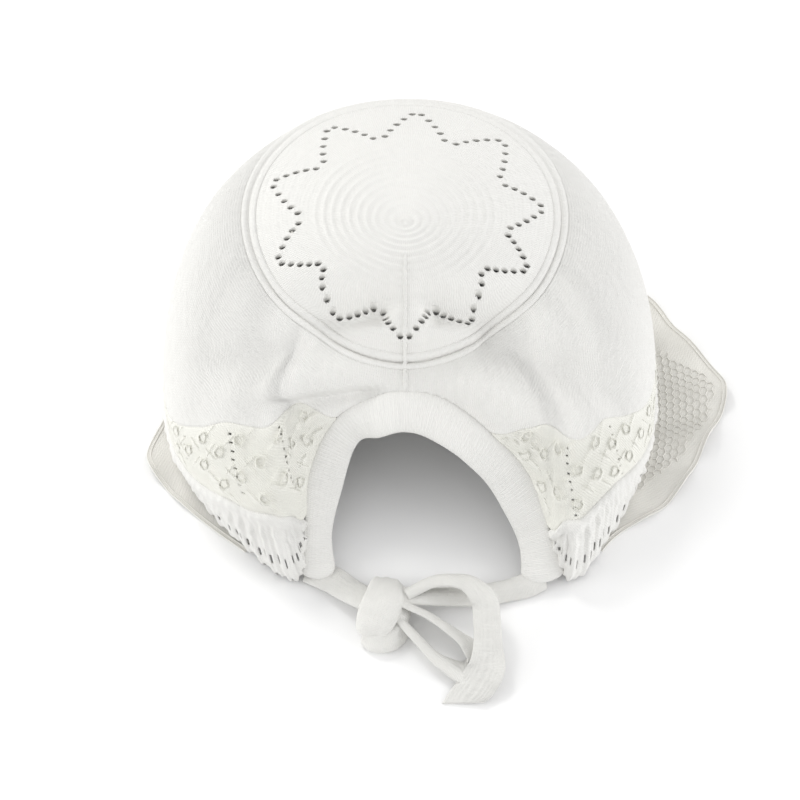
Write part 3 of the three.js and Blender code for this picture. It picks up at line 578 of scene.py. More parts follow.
def yarn_group():
    """Colour of cotton yarn with painted shade between the stitches, slightly patchy, with its fluff."""
    tree, take, give = new_group(
        "Cotton yarn",
        "ShaderNodeTree",
        [
            ("Place", VECTOR, None), ("Crevice", FLOAT, 0.0), ("Light", COLOR, (0.9, 0.9, 0.88, 1)),
            ("Deep", COLOR, (0.7, 0.7, 0.66, 1)), ("Shading", FLOAT, 0.4), ("Patches", FLOAT, 0.25),
        ],
        [("Color", COLOR), ("Roughness", FLOAT), ("Fluff", FLOAT)],
    )
    broad, fine = [
        add_node(
            tree, "ShaderNodeTexNoise", {"Vector": take["Place"], "Scale": scale, "Detail": detail}
        ).outputs["Fac"]
        for scale, detail in ((55.0, 3.0), (2600.0, 2.0))
    ]
    patch = maths(tree, "MULTIPLY", maths(tree, "SUBTRACT", broad, 0.45), take["Patches"])
    # painted shade between the stitches, plus random patches of tone, mixes the light colour towards
    # Deep
    shade = maths(tree, "MULTIPLY_ADD", take["Crevice"], take["Shading"], patch)
    grain = maths(tree, "MULTIPLY_ADD", fine, 0.12, -0.06)
    total = maths(tree, "ADD", shade, grain)
    shade = add_node(tree, "ShaderNodeClamp", {"Value": total}).outputs[0]
    tree.links.new(blend(tree, shade, take["Light"], take["Deep"]), give["Color"])
    tree.links.new(maths(tree, "MULTIPLY_ADD", shade, 0.12, 0.84), give["Roughness"])
    tree.links.new(fine, give["Fluff"])
    return tree


# The node group of each kind of stitch
PATTERNS = {"knit": ("Knitted loops", knit_group), "weave": ("Plain weave", weave_group)}


def shared_group(tree, name, maker, links):
    """A node of a group that several materials share, made when it is first needed."""
    group = bpy.data.node_groups.get(name) or maker()
    return add_node(tree, "ShaderNodeGroup", links, node_tree=group).outputs


def new_material(name):
    """An empty material, with its node tree and the socket of its object coordinates."""
    material = bpy.data.materials.new(name)
    material.use_nodes = True
    tree = material.node_tree
    tree.nodes.clear()
    return material, tree, tree.nodes.new("ShaderNodeTexCoord").outputs["Object"]


def give_surface(tree, links):
    shader = add_node(tree, "ShaderNodeBsdfPrincipled", links)
    add_node(tree, "ShaderNodeOutputMaterial", {"Surface": shader.outputs[0]})


def cloth_material(name, light, deep, pattern, depth, shading, patches, worked=None):
    """Cloth with its stitches in relief. A worked colour shows where the piece's attribute
    embroidery says so."""
    material, tree, place = new_material(name)
    stitches = add_node(tree, "ShaderNodeUVMap", uv_map="Stitches").outputs[0]
    relief = shared_group(tree, *PATTERNS[pattern], {0: stitches})
    # the yarn colour holds painted shade between the stitches
    yarn = shared_group(tree, "Cotton yarn", yarn_group, {
        "Place": place, "Crevice": relief["Crevice"], "Light": (*light, 1), "Deep": (*deep, 1),
        "Shading": shading, "Patches": patches,
    })
    colour = yarn["Color"]
    if worked:
        mask = add_node(tree, "ShaderNodeAttribute", attribute_name="embroidery").outputs["Fac"]
        colour = blend(tree, mask, colour, (*worked, 1))
    height = maths(tree, "MULTIPLY_ADD", yarn["Fluff"], 0.35, relief["Height"])
    bump = add_node(tree, "ShaderNodeBump", {"Strength": 1.0, "Distance": depth, "Height": height})
    give_surface(tree, {
        "Base Color": colour, "Roughness": yarn["Roughness"], "Normal": bump.outputs[0],
        "Specular IOR Level": 0.25, "Sheen Weight": 0.12, "Sheen Roughness": 0.6,
    })
    return material


def apply_tree(piece, tree, values):
    """Runs a geometry node tree on a piece and keeps its result as a plain mesh."""
    modifier = piece.modifiers.new(tree.name, "NODES")
    modifier.node_group = tree
    for item in tree.interface.items_tree:
        if item.item_type == "SOCKET" and item.in_out == "INPUT" and item.name in values:
            modifier[item.identifier] = values[item.name]
    graph = bpy.context.evaluated_depsgraph_get()
    seen = piece.evaluated_get(graph)
    mesh = bpy.data.meshes.new_from_object(seen, preserve_all_data_layers=True, depsgraph=graph)
    piece.modifiers.remove(modifier)
    old = piece.data
    piece.data = mesh
    bpy.data.meshes.remove(old)
    mesh.name = piece.name


def marker_points(name, places, normals, ways, scales):
    """Points that carry a turn and a scale, for what is set on them."""
    mesh = bpy.data.meshes.new(name)
    mesh.from_pydata(((places + SHIFT) * MM).tolist(), [], [])
    turned = mesh.attributes.new("turned", "QUATERNION", "POINT")
    sized = mesh.attributes.new("sized", "FLOAT_VECTOR", "POINT")
    ways = unit(ways - normals * (ways * normals).sum(-1, keepdims=True))
    third = np.cross(normals, ways)
    quats = [Matrix(np.stack(axes, -1).tolist()).to_quaternion() for axes in zip(ways, third, normals)]
    turned.data.foreach_set("value", np.array([tuple(q) for q in quats], np.float32).ravel())
    sized.data.foreach_set("vector", np.asarray(scales, np.float32).ravel())
    return in_scene(name, mesh)


def marked_group(name):
    """An empty group that works on a piece at marks."""
    return new_group(
        name,
        "GeometryNodeTree",
        [
            ("Geometry", GEOMETRY, None), ("Marks", "NodeSocketObject", None),
            ("Sides", "NodeSocketInt", 12), ("Cloth", "NodeSocketMaterial", None),
        ],
        [("Geometry", GEOMETRY)],
    )


def pegs_on_marks(tree, take):
    """Short round pegs, one on each mark, sized by the marks."""
    marks = add_node(tree, "GeometryNodeObjectInfo", {"Object": take["Marks"]}).outputs["Geometry"]
    shape = {"Vertices": take["Sides"], "Radius": MM, "Depth": MM}
    peg = add_node(tree, "GeometryNodeMeshCylinder", shape).outputs["Mesh"]
    turned, sized = [
        add_node(tree, "GeometryNodeInputNamedAttribute", {"Name": name}, data_type=kind)
        for name, kind in (("turned", "QUATERNION"), ("sized", "FLOAT_VECTOR"))
    ]
    points = add_node(tree, "GeometryNodeMeshToPoints", {"Mesh": marks})
    placed = add_node(tree, "GeometryNodeInstanceOnPoints", {
        "Points": points.outputs[0], "Instance": peg, "Rotation": turned.outputs["Attribute"],
        "Scale": sized.outputs["Attribute"],
    })
    return add_node(tree, "GeometryNodeRealizeInstances", {0: placed.outputs[0]}).outputs[0]


def give_cloth(tree, take, give, geometry):
    """Ends a tree: its instances become real and get their cloth."""
    real = add_node(tree, "GeometryNodeRealizeInstances", {0: geometry}).outputs[0]
    cloth = {"Geometry": real, "Material": take["Cloth"]}
    done = add_node(tree, "GeometryNodeSetMaterial", cloth)
    tree.links.new(done.outputs[0], give["Geometry"])
    return tree


def pierced_tree():
    """Cuts a round hole at each mark."""
    tree, take, give = marked_group("Pierced cloth")
    cut = add_node(
        tree, "GeometryNodeMeshBoolean",
        {"Mesh 1": take["Geometry"], "Mesh 2": pegs_on_marks(tree, take)},
        operation="DIFFERENCE", solver="MANIFOLD",
    )
    return give_cloth(tree, take, give, cut.outputs["Mesh"])


def stitched_tree():
    """Lays a short thread at each mark."""
    tree, take, give = marked_group("Stitched cloth")
    threads = {"Geometry": pegs_on_marks(tree, take)}
    threads = add_node(tree, "GeometryNodeSetShadeSmooth", threads).outputs[0]
    worked = add_node(
        tree, "GeometryNodeStoreNamedAttribute",
        {"Geometry": threads, "Name": "embroidery", "Value": 1.0},
        data_type="FLOAT", domain="POINT",
    )
    both = tree.nodes.new("GeometryNodeJoinGeometry")
    for geometry in (take["Geometry"], worked.outputs[0]):
        tree.links.new(geometry, both.inputs[0])
    return give_cloth(tree, take, give, both.outputs[0])


def net_tree():
    """Turns the edges of a net into round threads, capped at their ends."""
    tree, take, give = new_group(
        "Threads of a net",
        "GeometryNodeTree",
        [
            ("Geometry", GEOMETRY, None), ("Thread radius", FLOAT, 0.0002),
            ("Thread sides", "NodeSocketInt", 5), ("Cloth", "NodeSocketMaterial", None),
        ],
        [("Geometry", GEOMETRY)],
    )
    lines = add_node(tree, "GeometryNodeMeshToCurve", {"Mesh": take["Geometry"]}).outputs[0]
    circle = {"Resolution": take["Thread sides"], "Radius": take["Thread radius"]}
    ring = add_node(tree, "GeometryNodeCurvePrimitiveCircle", circle).outputs[0]
    swept = {"Curve": lines, "Profile Curve": ring, "Fill Caps": True}
    threads = add_node(tree, "GeometryNodeCurveToMesh", swept).outputs[0]
    smooth = add_node(tree, "GeometryNodeSetShadeSmooth", {"Geometry": threads})
    return give_cloth(tree, take, give, smooth.outputs[0])


def work_marks(piece, maker, marks, sides):
    """Runs a tree that cuts or stitches at marks: places, outward ways, ways along and scales,
    where a scale of 1 is a millimetre."""
    points = marker_points(piece.name + "_marks", *marks)
    values = {"Marks": points, "Sides": sides, "Cloth": piece.data.materials[0]}
    apply_tree(piece, maker(), values)
    mesh = points.data
    bpy.data.objects.remove(points)
    bpy.data.meshes.remove(mesh)


# Colours and sizes that a user may change

def colour_setting(name, description, default):
    return bpy.props.FloatVectorProperty(
        name=name, description=description, subtype="COLOR", size=3, min=0, max=1, default=default,
    )


def length_setting(name, description, default, low, high):
    return bpy.props.FloatProperty(
        name=name, description=description, unit="LENGTH", default=default, min=low, max=high,
    )


class HatColours(bpy.types.PropertyGroup):
    knit: colour_setting("Knit", "White of the knitted cloth", (0.85, 0.845, 0.82))
    # colour of the painted shade between the knitted loops
    knit_deep: colour_setting(
        "Knit between stitches", "Shade between the knitted loops", (0.66, 0.65, 0.62)
    )
    band: colour_setting("Band", "Cream of the embroidered band", (0.84, 0.835, 0.775))
    thread: colour_setting("Embroidery thread", "Pale cream of the satin stitches", (0.86, 0.855, 0.80))
    net: colour_setting("Net", "Beige white of the tulle", (0.86, 0.845, 0.80))
    tape: colour_setting("Ties", "White of the ties", (0.82, 0.815, 0.785))


class HatSizes(bpy.types.PropertyGroup):
    wale: length_setting("Wale", "Width of one knitted column halfway down", 0.00112, 0.0004, 0.004)
    course: length_setting("Course", "Height of one knitted row", 0.00095, 0.0004, 0.004)
    rib: length_setting("Rib", "Pitch of the neck band's ribs", 0.00115, 0.0006, 0.005)
    net_cell: length_setting("Net cell", "Width of one six-sided hole of the tulle", 0.0025, 0.001, 0.01)
    net_thread: length_setting("Net thread", "Thickness of the tulle's threads", 0.00042, 0.0001, 0.002)


def size_of(key):
    """A size that the user may change, in millimetres."""
    return getattr(bpy.context.scene.baby_hat_sizes, key) * 1000


# Kinds of cloth: its colour and the share of it that shows, its deep shade as a share of that
# (none for the knit's own), its stitch, depth of the relief, shading and patchiness
FINISHES = {
    "fine white knit": ("knit", 1, None, "knit", 0.00015, 0.16, 0.25),
    "garter ridges": ("knit", 1, None, "knit", 0.00012, 0.2, 0.12),
    "ribbed white knit": ("knit", 1, None, "knit", 0.00011, 0.15, 0.25),
    "cream embroidery": ("band", 1, 0.84, "weave", 0.0002, 0.35, 0.5),
    "white frill cotton": ("knit", 1, None, "weave", 0.00016, 0.3, 0.25),
    "fine beige net": ("net", 0.97, 0.8, "weave", 0.0001, 0.35, 0.5),
    "beige net": ("net", 1, 0.75, "weave", 0.00008, 0.25, 0.25),
    "soft tape": ("tape", 1, None, "knit", 0.00013, 0.2, 0.25),
}


def finish_of(kind):
    """The material of one kind of cloth, made when it is first needed."""
    found = bpy.data.materials.get(kind)
    if found:
        return found
    colours = bpy.context.scene.baby_hat_colours
    key, shown, shade, *looks = FINISHES[kind]
    light = tuple(c * shown for c in getattr(colours, key))
    deep = tuple(colours.knit_deep) if shade is None else tuple(c * shade for c in light)
    worked = tuple(colours.thread) if kind == "cream embroidery" else None
    return cloth_material(kind, light, deep, *looks, worked)


# Pieces of the hat

def star_eyelets():
    """Places of the eyelets along the sides of the star, their outward ways and their rows'."""
    turns, shares, ends = [], [], []
    for i, tip in enumerate(STAR_TIPS):
        after = STAR_TIPS[i + 1] if i + 1 < len(STAR_TIPS) else 360
        corner = (tip + after) / 2
        for start in (tip, after):
            for k in EYELETS:
                turns.append(start + (corner - start) * k)
                shares.append(STAR_OUT + (STAR_IN - STAR_OUT) * k)
                ends.append((start, corner))
    turns, shares, ends = np.array(turns), np.array(shares), np.array(ends)
    places, normals, _ = hat_frames(turns, shares)
    far = hat_at(ends[:, 0], np.full(len(ends), STAR_OUT))
    near = hat_at(ends[:, 1], np.full(len(ends), STAR_IN))
    return places, normals, unit(near - far)


def make_back_disc():
    n, m = 330, 108
    radius, stitch = 46, 1.2
    turns = np.arange(n) * 360 / n
    shares = np.linspace(0.016, 1 - (RING["half_width"] - TUCK) / RING["half"], m)
    points = hat_grid(turns, shares)
    normals = grid_normals(points, True)
    phase = shares / RIDGE_ZONE * RIDGE_COUNT
    ridge = (0.5 - 0.5 * np.cos(2 * np.pi * phase)) ** 1.1 * 0.4
    fade = ramp((RIDGE_ZONE + 0.04 - shares) / 0.09, 0.08)
    wobble = 1 + 0.22 * soft_noise(turns[:, None] / 9, shares[None] * 30, 4)
    lift = ridge * fade * wobble
    # slack garter rows beyond the ridged middle
    lift = lift + 0.05 * np.cos(2 * np.pi * shares * 17)[None] * (1 - fade)
    # each eyelet lies in a shallow dimple with a raised rim
    places, outward, rows = star_eyelets()
    for p in places:
        far = np.linalg.norm(points - p, axis=-1)
        lift += 0.18 * bell(far, 1.3, 0.45) - 0.2 * bell(far, 0, 0.8)
    points = points + normals * lift[..., None]
    around = 2 * np.pi * radius * np.floor(phase + 0.5) / RIDGE_COUNT * RIDGE_ZONE
    counts = np.maximum(np.round(around / stitch), 8)
    piece = shell(
        "knitted_disc", points, KNIT_WALL, (np.append(turns, 360) / 360, 2 * phase),
        finish_of("garter ridges"), around=True, pole=hat_at(0, 0.0)[0] + [0, 0, 0.1],
        counts=counts[:-1],
    )
    depth = 8.0
    uneven = 1 + 0.12 * soft_noise(places[:, 0], places[:, 1], 8)
    size = np.tile([*EYELET, depth], (len(places), 1)) * uneven[:, None]
    marks = (places - outward * 0.6, outward, np.cross(outward, rows), size)
    work_marks(piece, pierced_tree, marks, 12)
    settle(piece, "knit_white", "back_disc")


def make_ridge_ring():
    n, m = 540, 23
    twists = 150
    turns = np.arange(n) * 360 / n
    offs = np.linspace(-RING["half_width"], RING["half_width"], m)[None]
    _, lengths = side_curves(turns)
    shares = np.where(offs < 0, 1 + offs / RING["half"], 1 + offs / lengths[:, -1:])
    points = hat_grid(turns, shares)
    normals = grid_normals(points, True)
    # two welts side by side, higher at the nape than at the forehead
    welt = np.abs(np.sin(np.pi * (offs / RING["half_width"] * 0.98))) ** 1.1
    welt = welt * (0.55 + 0.3 * np.cos(np.radians(turns)))[:, None]
    twist = 0.10 * np.cos(2 * np.pi * (turns[:, None] / 360 * twists + offs * 0.15))
    lift = welt * (1 + twist + 0.08 * soft_noise(turns[:, None] / 6, offs, 12)) + 0.06
    points = points + normals * lift[..., None]
    uv = (np.append(turns, 360) / 360 * 2 * twists, np.arange(m) / 3.0)
    finish = finish_of("ribbed white knit")
    piece = shell("welted_ring", points, RING_WALL, uv, finish, around=True)
    settle(piece, "knit_white", "ridge_ring")


def make_back_seam():
    n, k = 420, 12
    stitch = 1.5
    share = np.linspace(0.30, 1.95, n)
    place, normal, along = hat_frames(np.zeros(n), share)
    down = steps_along(place)
    across, up = rounded(k)
    swell = 1 + 0.16 * np.cos(2 * np.pi * down / stitch)[:, None] * across[None]
    fade = ramp(np.minimum(down, down[-1] - down) / 1.5, 0.25)[:, None]
    sway = 0.15 * np.sin(2 * np.pi * down / (2 * stitch))
    # it rises over the ring
    rise = 0.2 + bell(share, 1, 0.05) * 0.9
    middle = place + normal * rise[:, None] + along * sway[:, None]
    ring = rings_along(middle, along, across * 0.5 * swell * fade, normal, up * 0.42 * swell * fade)
    piece = tube("sewn_seam", ring, down, np.arange(k + 1) / 4, finish_of("ribbed white knit"))
    settle(piece, "knit_white", "back_seam")


def make_knit_sides():
    n, m = 440, 92
    turns = np.arange(n) * 360 / n
    lengths = side_curves(turns)[1][:, -1]
    start = 1 + (RING["half_width"] - TUCK) / lengths
    trimmed = (turns > 27.2) & (turns < 335.6)
    end = np.where(trimmed, 1 + np.minimum(trim_at(turns)[:, 0], 1), 2)
    shares = start[:, None] + (end - start)[:, None] * np.linspace(0, 1, m)
    points = hat_grid(turns, shares)
    normals = grid_normals(points, True)
    down = (shares - 1) * lengths[:, None]
    # slack in the cloth, and fine creases that run down from the ring to the nape
    lift = 0.16 * soft_noise(turns[:, None] / 5, down / 9, 21)
    nape = bell((turns + 180) % 360 - 180, 0, 22)[:, None]
    lift = lift + 0.22 * nape * np.cos(turns[:, None] * 2.1) * ramp(down / 12)
    points = points + normals * lift[..., None]
    middle = hat_grid(np.append(turns, 360), np.full((n + 1, 1), 1.45))[:, 0]
    wale = steps_along(middle) / size_of("wale")
    wale = wale / wale[-1] * round(wale[-1])
    uv = (wale, np.vstack([down, down[:1]]) / size_of("course"))
    piece = shell("knitted_sides", points, KNIT_WALL, uv, finish_of("fine white knit"), around=True)
    settle(piece, "knit_white", "knit_sides")


def make_neck_band():
    n, k = 900, 26
    turn = np.linspace(-50, 50, n)
    edge = hat_grid(turn, np.full((n, 1), 2.0))[:, 0]
    rim = neck_at(turn)
    # near the chin the band reaches over the ends of the frill
    edge = edge + unit(edge - rim) * (0.5 + 0.6 * ramp((np.abs(turn) - 34) / 8))[:, None]
    across = unit(rim - edge)
    wide = np.linalg.norm(rim - edge, axis=1)
    along = unit(np.gradient(rim + edge, axis=0))
    normal = unit(np.cross(across, along))
    length = steps_along((rim + edge) / 2)
    flat, tall = rounded(k, 0.75, 0.8)
    rib = 0.06 * np.cos(2 * np.pi * length / size_of("rib"))
    rib = rib * (1 + 0.25 * soft_noise(length / 7, 0 * length, 31))
    slump = 1 + 0.10 * soft_noise(length / 14, 0 * length + 2, 33)
    ends = np.sqrt(1 - (1 - ramp(np.minimum(length, length[-1] - length) / 4.5, 0.02)) ** 2)
    half = 1.95 * slump * np.maximum(ends, 0.35)
    reach = (wide / 2 * np.maximum(ends, 0.3))[:, None] + 0.15
    ring = rings_along(
        (edge + rim) / 2, across, flat * (reach + rib[:, None] * 0.4),
        normal, tall * (half[:, None] + rib[:, None]),
    )
    piece = tube(
        "ribbed_neck_band", ring, length / size_of("rib"), np.arange(k + 1) * 1.1,
        finish_of("ribbed white knit"),
    )
    settle(piece, "knit_white", "neck_band")


def band_motifs(length, height):
    """Sprigs of generic flowers and leaves set along the band: along, down, size, lean."""
    flowers, leaves = [], []
    at, odd = 5.0, False
    while at < length[-1] - 5:
        tall = float(np.interp(at, length, height))
        size = min(3.5, max(1.6, tall * 0.26))
        if tall < 13:
            flower_rows, leaf_rows = [0.5], [0.18, 0.8]
        else:
            flower_rows = [0.26, 0.74] if odd else [0.5]
            if tall >= 20:
                flower_rows = [0.2, 0.62] if odd else [0.4, 0.82]
            leaf_rows = [r + 0.2 for r in flower_rows] + [max(r - 0.16, 0.08) for r in flower_rows]
        for row in flower_rows:
            flowers.append((at, tall * row, size, 0.6 * len(flowers)))
        for row in leaf_rows:
            leaves.append((at + 3.9, tall * row, size * 0.95, 0.8 if len(leaves) % 2 else -0.8))
        at += 7.6
        odd = not odd
    return np.array(flowers), np.array(leaves)


def petal_reach(size, phi):
    """How far a flower of five petals reaches at an angle."""
    return size * (0.8 + 0.2 * np.abs(np.cos(2.5 * phi)))


def satin_marks(flowers, leaves):
    """The stitches of the sprigs: their middles along and down, their lean and their length."""
    marks = []
    start = 0.12
    for x, y, size, lean in flowers:
        for petal in range(5):
            for k in np.linspace(-1, 1, 6):
                phi = petal * 2 * math.pi / 5 - lean + k * 0.5
                end = petal_reach(size, phi + lean) * 0.97
                out = (start + end) / 2
                marks.append((x + math.cos(phi) * out, y + math.sin(phi) * out, phi, end - start))
    for x, y, size, lean in leaves:
        for k in np.linspace(-0.85, 0.85, 9):
            out = k * size
            marks.append((
                x + math.cos(lean) * out, y + math.sin(lean) * out, lean + 1.1,
                2.3 * math.sqrt(1 - k * k),
            ))
    return np.array(marks)


def make_embroidered_band():
    n, m = 760, 44
    turns = np.linspace(27.5, 335.2, n)
    top, low = np.minimum(trim_at(turns), 1).T + 1
    top = top - 0.004
    shares = top[:, None] + (low - top)[:, None] * np.linspace(0, 1, m)
    points = hat_grid(turns, shares)
    normals = grid_normals(points)
    along = steps_along(points[:, m // 2])
    down = np.array([steps_along(row) for row in points])
    height = down[:, -1]
    flowers, leaves = band_motifs(along, height)
    s = np.repeat(along[:, None], m, 1)
    raised = np.zeros((n, m))
    for x, y, size, lean in flowers:
        r, phi = np.hypot(s - x, down - y), np.arctan2(down - y, s - x) + lean
        raised = np.maximum(raised, ramp(1 - (r / petal_reach(size, phi)) ** 2) ** 1.2)
    for x, y, size, lean in leaves:
        a = (s - x) * math.cos(lean) + (down - y) * math.sin(lean)
        b = (down - y) * math.cos(lean) - (s - x) * math.sin(lean)
        raised = np.maximum(raised, 0.85 * ramp(1 - (a / size) ** 2 - (b / 1.3) ** 2) ** 1.2)
    lift = 0.2 * soft_noise(s / 4, down / 4, 41) + 0.13 * soft_noise(s / 0.9, down / 0.9, 42)
    lift = lift + 0.27 * raised
    # the band swells a little above the frill and ends level with the knit
    lift = lift * ramp(down / 1.5) + 0.3 * bell(height[:, None] - down, 1.5, 1.2)
    points = points + normals * lift[..., None]
    gaps = np.zeros((n - 1, m - 1), bool)
    for x in np.interp(BAND_HOLES, turns, along):
        for y in np.arange(3.5, float(np.interp(x, along, height)) - 3, 2.7):
            i = int(np.interp(x + 0.15 * y, along, np.arange(n)))
            j = int(np.interp(y, down[i], np.arange(m)))
            gaps[i : i + 2, j] = True
    finish, thread = finish_of("cream embroidery"), 0.55
    piece = shell("cream_band", points, KNIT_WALL, (s / thread, down / thread), finish, gaps=gaps)
    mask = piece.data.attributes.new("embroidery", "FLOAT", "POINT")
    pale = np.maximum(ramp(raised * 1.4), bell(down, 0, 3.5))
    mask.data.foreach_set("value", np.tile(pale.ravel(), 2).astype(np.float32))

    def on_band(x, y):
        """Places just in the band's raised face and their outward ways, x along and y down it."""
        i = ramp(np.round(np.interp(x, along, np.arange(n))).astype(int), 0, n - 1)
        share = np.array([np.interp(b, down[a], shares[a]) for a, b in zip(i, y)])
        j = [int(np.interp(b, down[a], np.arange(m)) + 0.5) for a, b in zip(i, y)]
        place, normal, _ = hat_frames(np.interp(x, along, turns), share)
        return place + normal * (lift[i, j] - 0.05)[:, None], normal

    marks = satin_marks(flowers, leaves)
    tall = np.interp(marks[:, 0], along, height)
    marks = marks[(marks[:, 1] > 0.6) & (marks[:, 1] < tall - 0.8)]
    half = marks[:, 3:] / 2 * np.stack([np.cos(marks[:, 2]), np.sin(marks[:, 2])], -1)
    first, normal = on_band(*(marks[:, :2] - half).T)
    last, _ = on_band(*(marks[:, :2] + half).T)
    long = np.linalg.norm(last - first, axis=1)
    kept = long > 0.2
    first, last, normal, long = first[kept], last[kept], normal[kept], long[kept]
    radius = np.full(len(long), 0.13)
    marks = ((first + last) / 2, unit(last - first), normal, np.stack([radius, radius, long], -1))
    stitches = new_piece("satin_stitches", np.zeros((0, 3)), [], [], finish)
    work_marks(stitches, stitched_tree, marks, 5)
    settle(stitches, "band_cream")
    settle(piece, "band_cream", "embroidered_band")


def make_front_frill():
    n, m = 1500, 26
    turns = np.linspace(43.8, 317.0, n)
    top = 1 + np.minimum(trim_at(turns)[:, 1], 0.995) - 0.012
    along = steps_along(hat_grid(turns, np.full((n, 1), 2.0))[:, 0])
    lengths = side_curves(turns)[1][:, -1]
    tall = (2 - top) * lengths
    # scallops on the lower edge, as deep as the frill allows
    scallop = 1.5 * np.abs(np.sin(np.pi * along / SCALLOP)) * ramp(tall / 8, 0.2)
    low = 2 + (scallop - 0.2) / lengths
    k = np.linspace(0, 1, m)
    points = hat_grid(turns, top[:, None] + (low - top)[:, None] * k)
    normals = grid_normals(points)
    x, fall = along[:, None], k[None] * tall[:, None]
    deep = ramp(tall / 9, 0.25)[:, None]
    phase = 2 * np.pi * along / GATHER + 1.9 * soft_noise(along / 9, 0 * along, 51)
    tuft = 0.22 * np.sin(1.7 * phase + 1)[:, None] + 0.9 * soft_noise(x / 3.6, fall / 2.6, 52)
    puff = np.sin(np.pi * ramp(fall / CASING)) ** 0.8 * (1.4 + 0.75 * tuft)
    gather = ramp((fall - 3.5) / 4) * 0.4 * np.sin(phase + 0.25 * fall.mean(1))[:, None]
    bulge = 0.45 + 0.4 * np.sin(2 * np.pi * along / SCALLOP)[:, None]
    ripple = 0.2 * ramp((fall - 4.4) / 1.2) * np.cos(2 * np.pi * (along / SLIT + 0.5))[:, None]
    ripple = ripple + np.sin(np.pi * ramp((fall - 6.6) / 3.4)) * bulge
    lift = 0.1 + deep * (puff + gather + ripple)
    lift = lift + 0.25 * soft_noise(x / 2.4, fall / 2.4, 53) * ramp(fall / 2)
    points = points + normals * lift[..., None]
    points[..., 2] = np.maximum(points[..., 2], 1.15)

    def columns(pitch, least):
        """Columns of the grid at each pitch, where the frill is deep enough."""
        spots = np.interp(np.arange(SLIT, along[-1] - 2, pitch), along, np.arange(n))
        return [i for i in spots.astype(int) if tall[i] > least]

    # a row of slits under the casing and a small hole in each scallop
    gaps = np.zeros((n - 1, m - 1), bool)
    slit, hole = slice(int(0.54 * m), int(0.68 * m)), slice(m - 4, m - 2)
    for i in columns(SLIT, 6):
        gaps[i : i + 1 + (tall[i] > 8), slit] = True
    for i in columns(SCALLOP, 5):
        gaps[i - 1 : i + 2, hole] = True
    uv = (np.repeat(x, m, 1) / 0.5, fall / 0.5)
    finish = finish_of("white frill cotton")
    piece = shell("gathered_frill", points, FRILL_WALL, uv, finish, gaps=gaps)
    settle(piece, "frill_white", "front_frill")


def net_point(s, w, along, turns, layer):
    """Point of the net: s along the face edge, w outward from it, both in millimetres, and
    layer 1 for threads that lie on the fine net."""
    turn = np.interp(s, along, turns)
    edge = edge_at(turn)[..., :2]
    ahead, behind = edge_at(turn + 0.5)[..., :2], edge_at(turn - 0.5)[..., :2]
    tangent = unit(ahead - behind)
    out = np.stack([tangent[..., 1], -tangent[..., 0]], -1)
    reach, rim = np.moveaxis(ruffle_at(turn), -1, 0)
    part = ramp(w / np.maximum(reach, 0.5), 0, 1.1)
    wave = 0.55 + 0.45 * np.cos(2 * np.pi * s / NET_WAVE)
    slack = np.minimum(1, reach / 9)
    z = 0.5 + part**1.4 * rim * wave * slack
    z = z + 0.35 * soft_noise(s / 2.2, w / 2.6, 65) * slack * ramp(w / 4) + 0.22 * layer
    xy = edge + out * w[..., None]
    return np.concatenate([xy, np.maximum(z, NET_WALL + 0.07)[..., None]], -1)


def net_cells(along, turns):
    """Corners and edges of the six-sided cells of the coarse net."""
    cell, grain = size_of("net_cell"), 50
    start, widest = -5, 38
    side = cell / math.sqrt(3)
    index = {}

    def corner(x, y):
        return index.setdefault((round(x * grain), round(y * grain)), len(index))

    pairs = set()
    for row in range(int(widest / (side * 1.5)) + 1):
        for column in range(int(along[-1] / cell) + 1):
            x = (column + 0.5 * (row % 2) + 0.31) * cell
            y = start + row * side * 1.5 + 0.4
            bends = np.radians(60 * np.arange(6))
            ring = [corner(x + side * math.sin(a), y + side * math.cos(a)) for a in bends]
            pairs.update(tuple(sorted((ring[k], ring[(k + 1) % 6]))) for k in range(6))
    flat = np.array(list(index)) / grain
    at = np.interp(flat[:, 0], along, turns)
    # the coarse net covers most of the ruffle at its right corner and less elsewhere
    reach = ruffle_at(at)[:, 0] * (0.4 + 0.6 * np.exp(-(((at - 93) / 14) ** 4))) - 3.6
    inside = (flat[:, 1] < reach) & (flat[:, 1] > -4.6)
    inside &= (flat[:, 0] > 0) & (flat[:, 0] < along[-1])
    points = net_point(flat[:, 0], flat[:, 1], along, turns, 1).tolist()
    return points, [pair for pair in pairs if inside[pair[0]] and inside[pair[1]]]


def make_tulle_ruffle():
    n, m = 620, 30
    turns = np.linspace(60.5, 299.5, 900)
    along = steps_along(np.c_[edge_at(turns)[:, :2], np.zeros(len(turns))])
    points, edges = net_cells(along, turns)
    # two hems along the outer rim, and the gathering line under the frill
    s = np.linspace(0, along[-1], n)
    reach = ruffle_at(np.interp(s, along, turns))[:, 0]
    for w, raised in ((reach - 0.2, 0.024), (reach - 1.4, 0.168), (np.full(n, -4.2), -0.12)):
        base = len(points)
        line = net_point(s, w, along, turns, 0)
        line[:, 2] += raised
        points.extend(line.tolist())
        edges.extend((base + k, base + k + 1) for k in range(n - 1))
    mesh = bpy.data.meshes.new("net_threads")
    mesh.from_pydata(((np.array(points) + SHIFT) * MM).tolist(), edges, [])
    threads = in_scene("net_threads", mesh)
    apply_tree(threads, net_tree(), {
        "Thread radius": size_of("net_thread") * MM / 2, "Thread sides": 4,
        "Cloth": finish_of("beige net"),
    })
    settle(threads, "net_beige")
    # fine net below, so close that it reads as cloth
    thread = 0.6
    w = (reach + NET_ROOT)[:, None] * np.linspace(0, 1, m) - NET_ROOT
    under = net_point(np.repeat(s[:, None], m, 1), w, along, turns, 0)
    finish = finish_of("fine beige net")
    cloth = shell("net_ruffle", under, NET_WALL, (s / thread, w / thread), finish)
    settle(cloth, "net_beige", "tulle_ruffle")


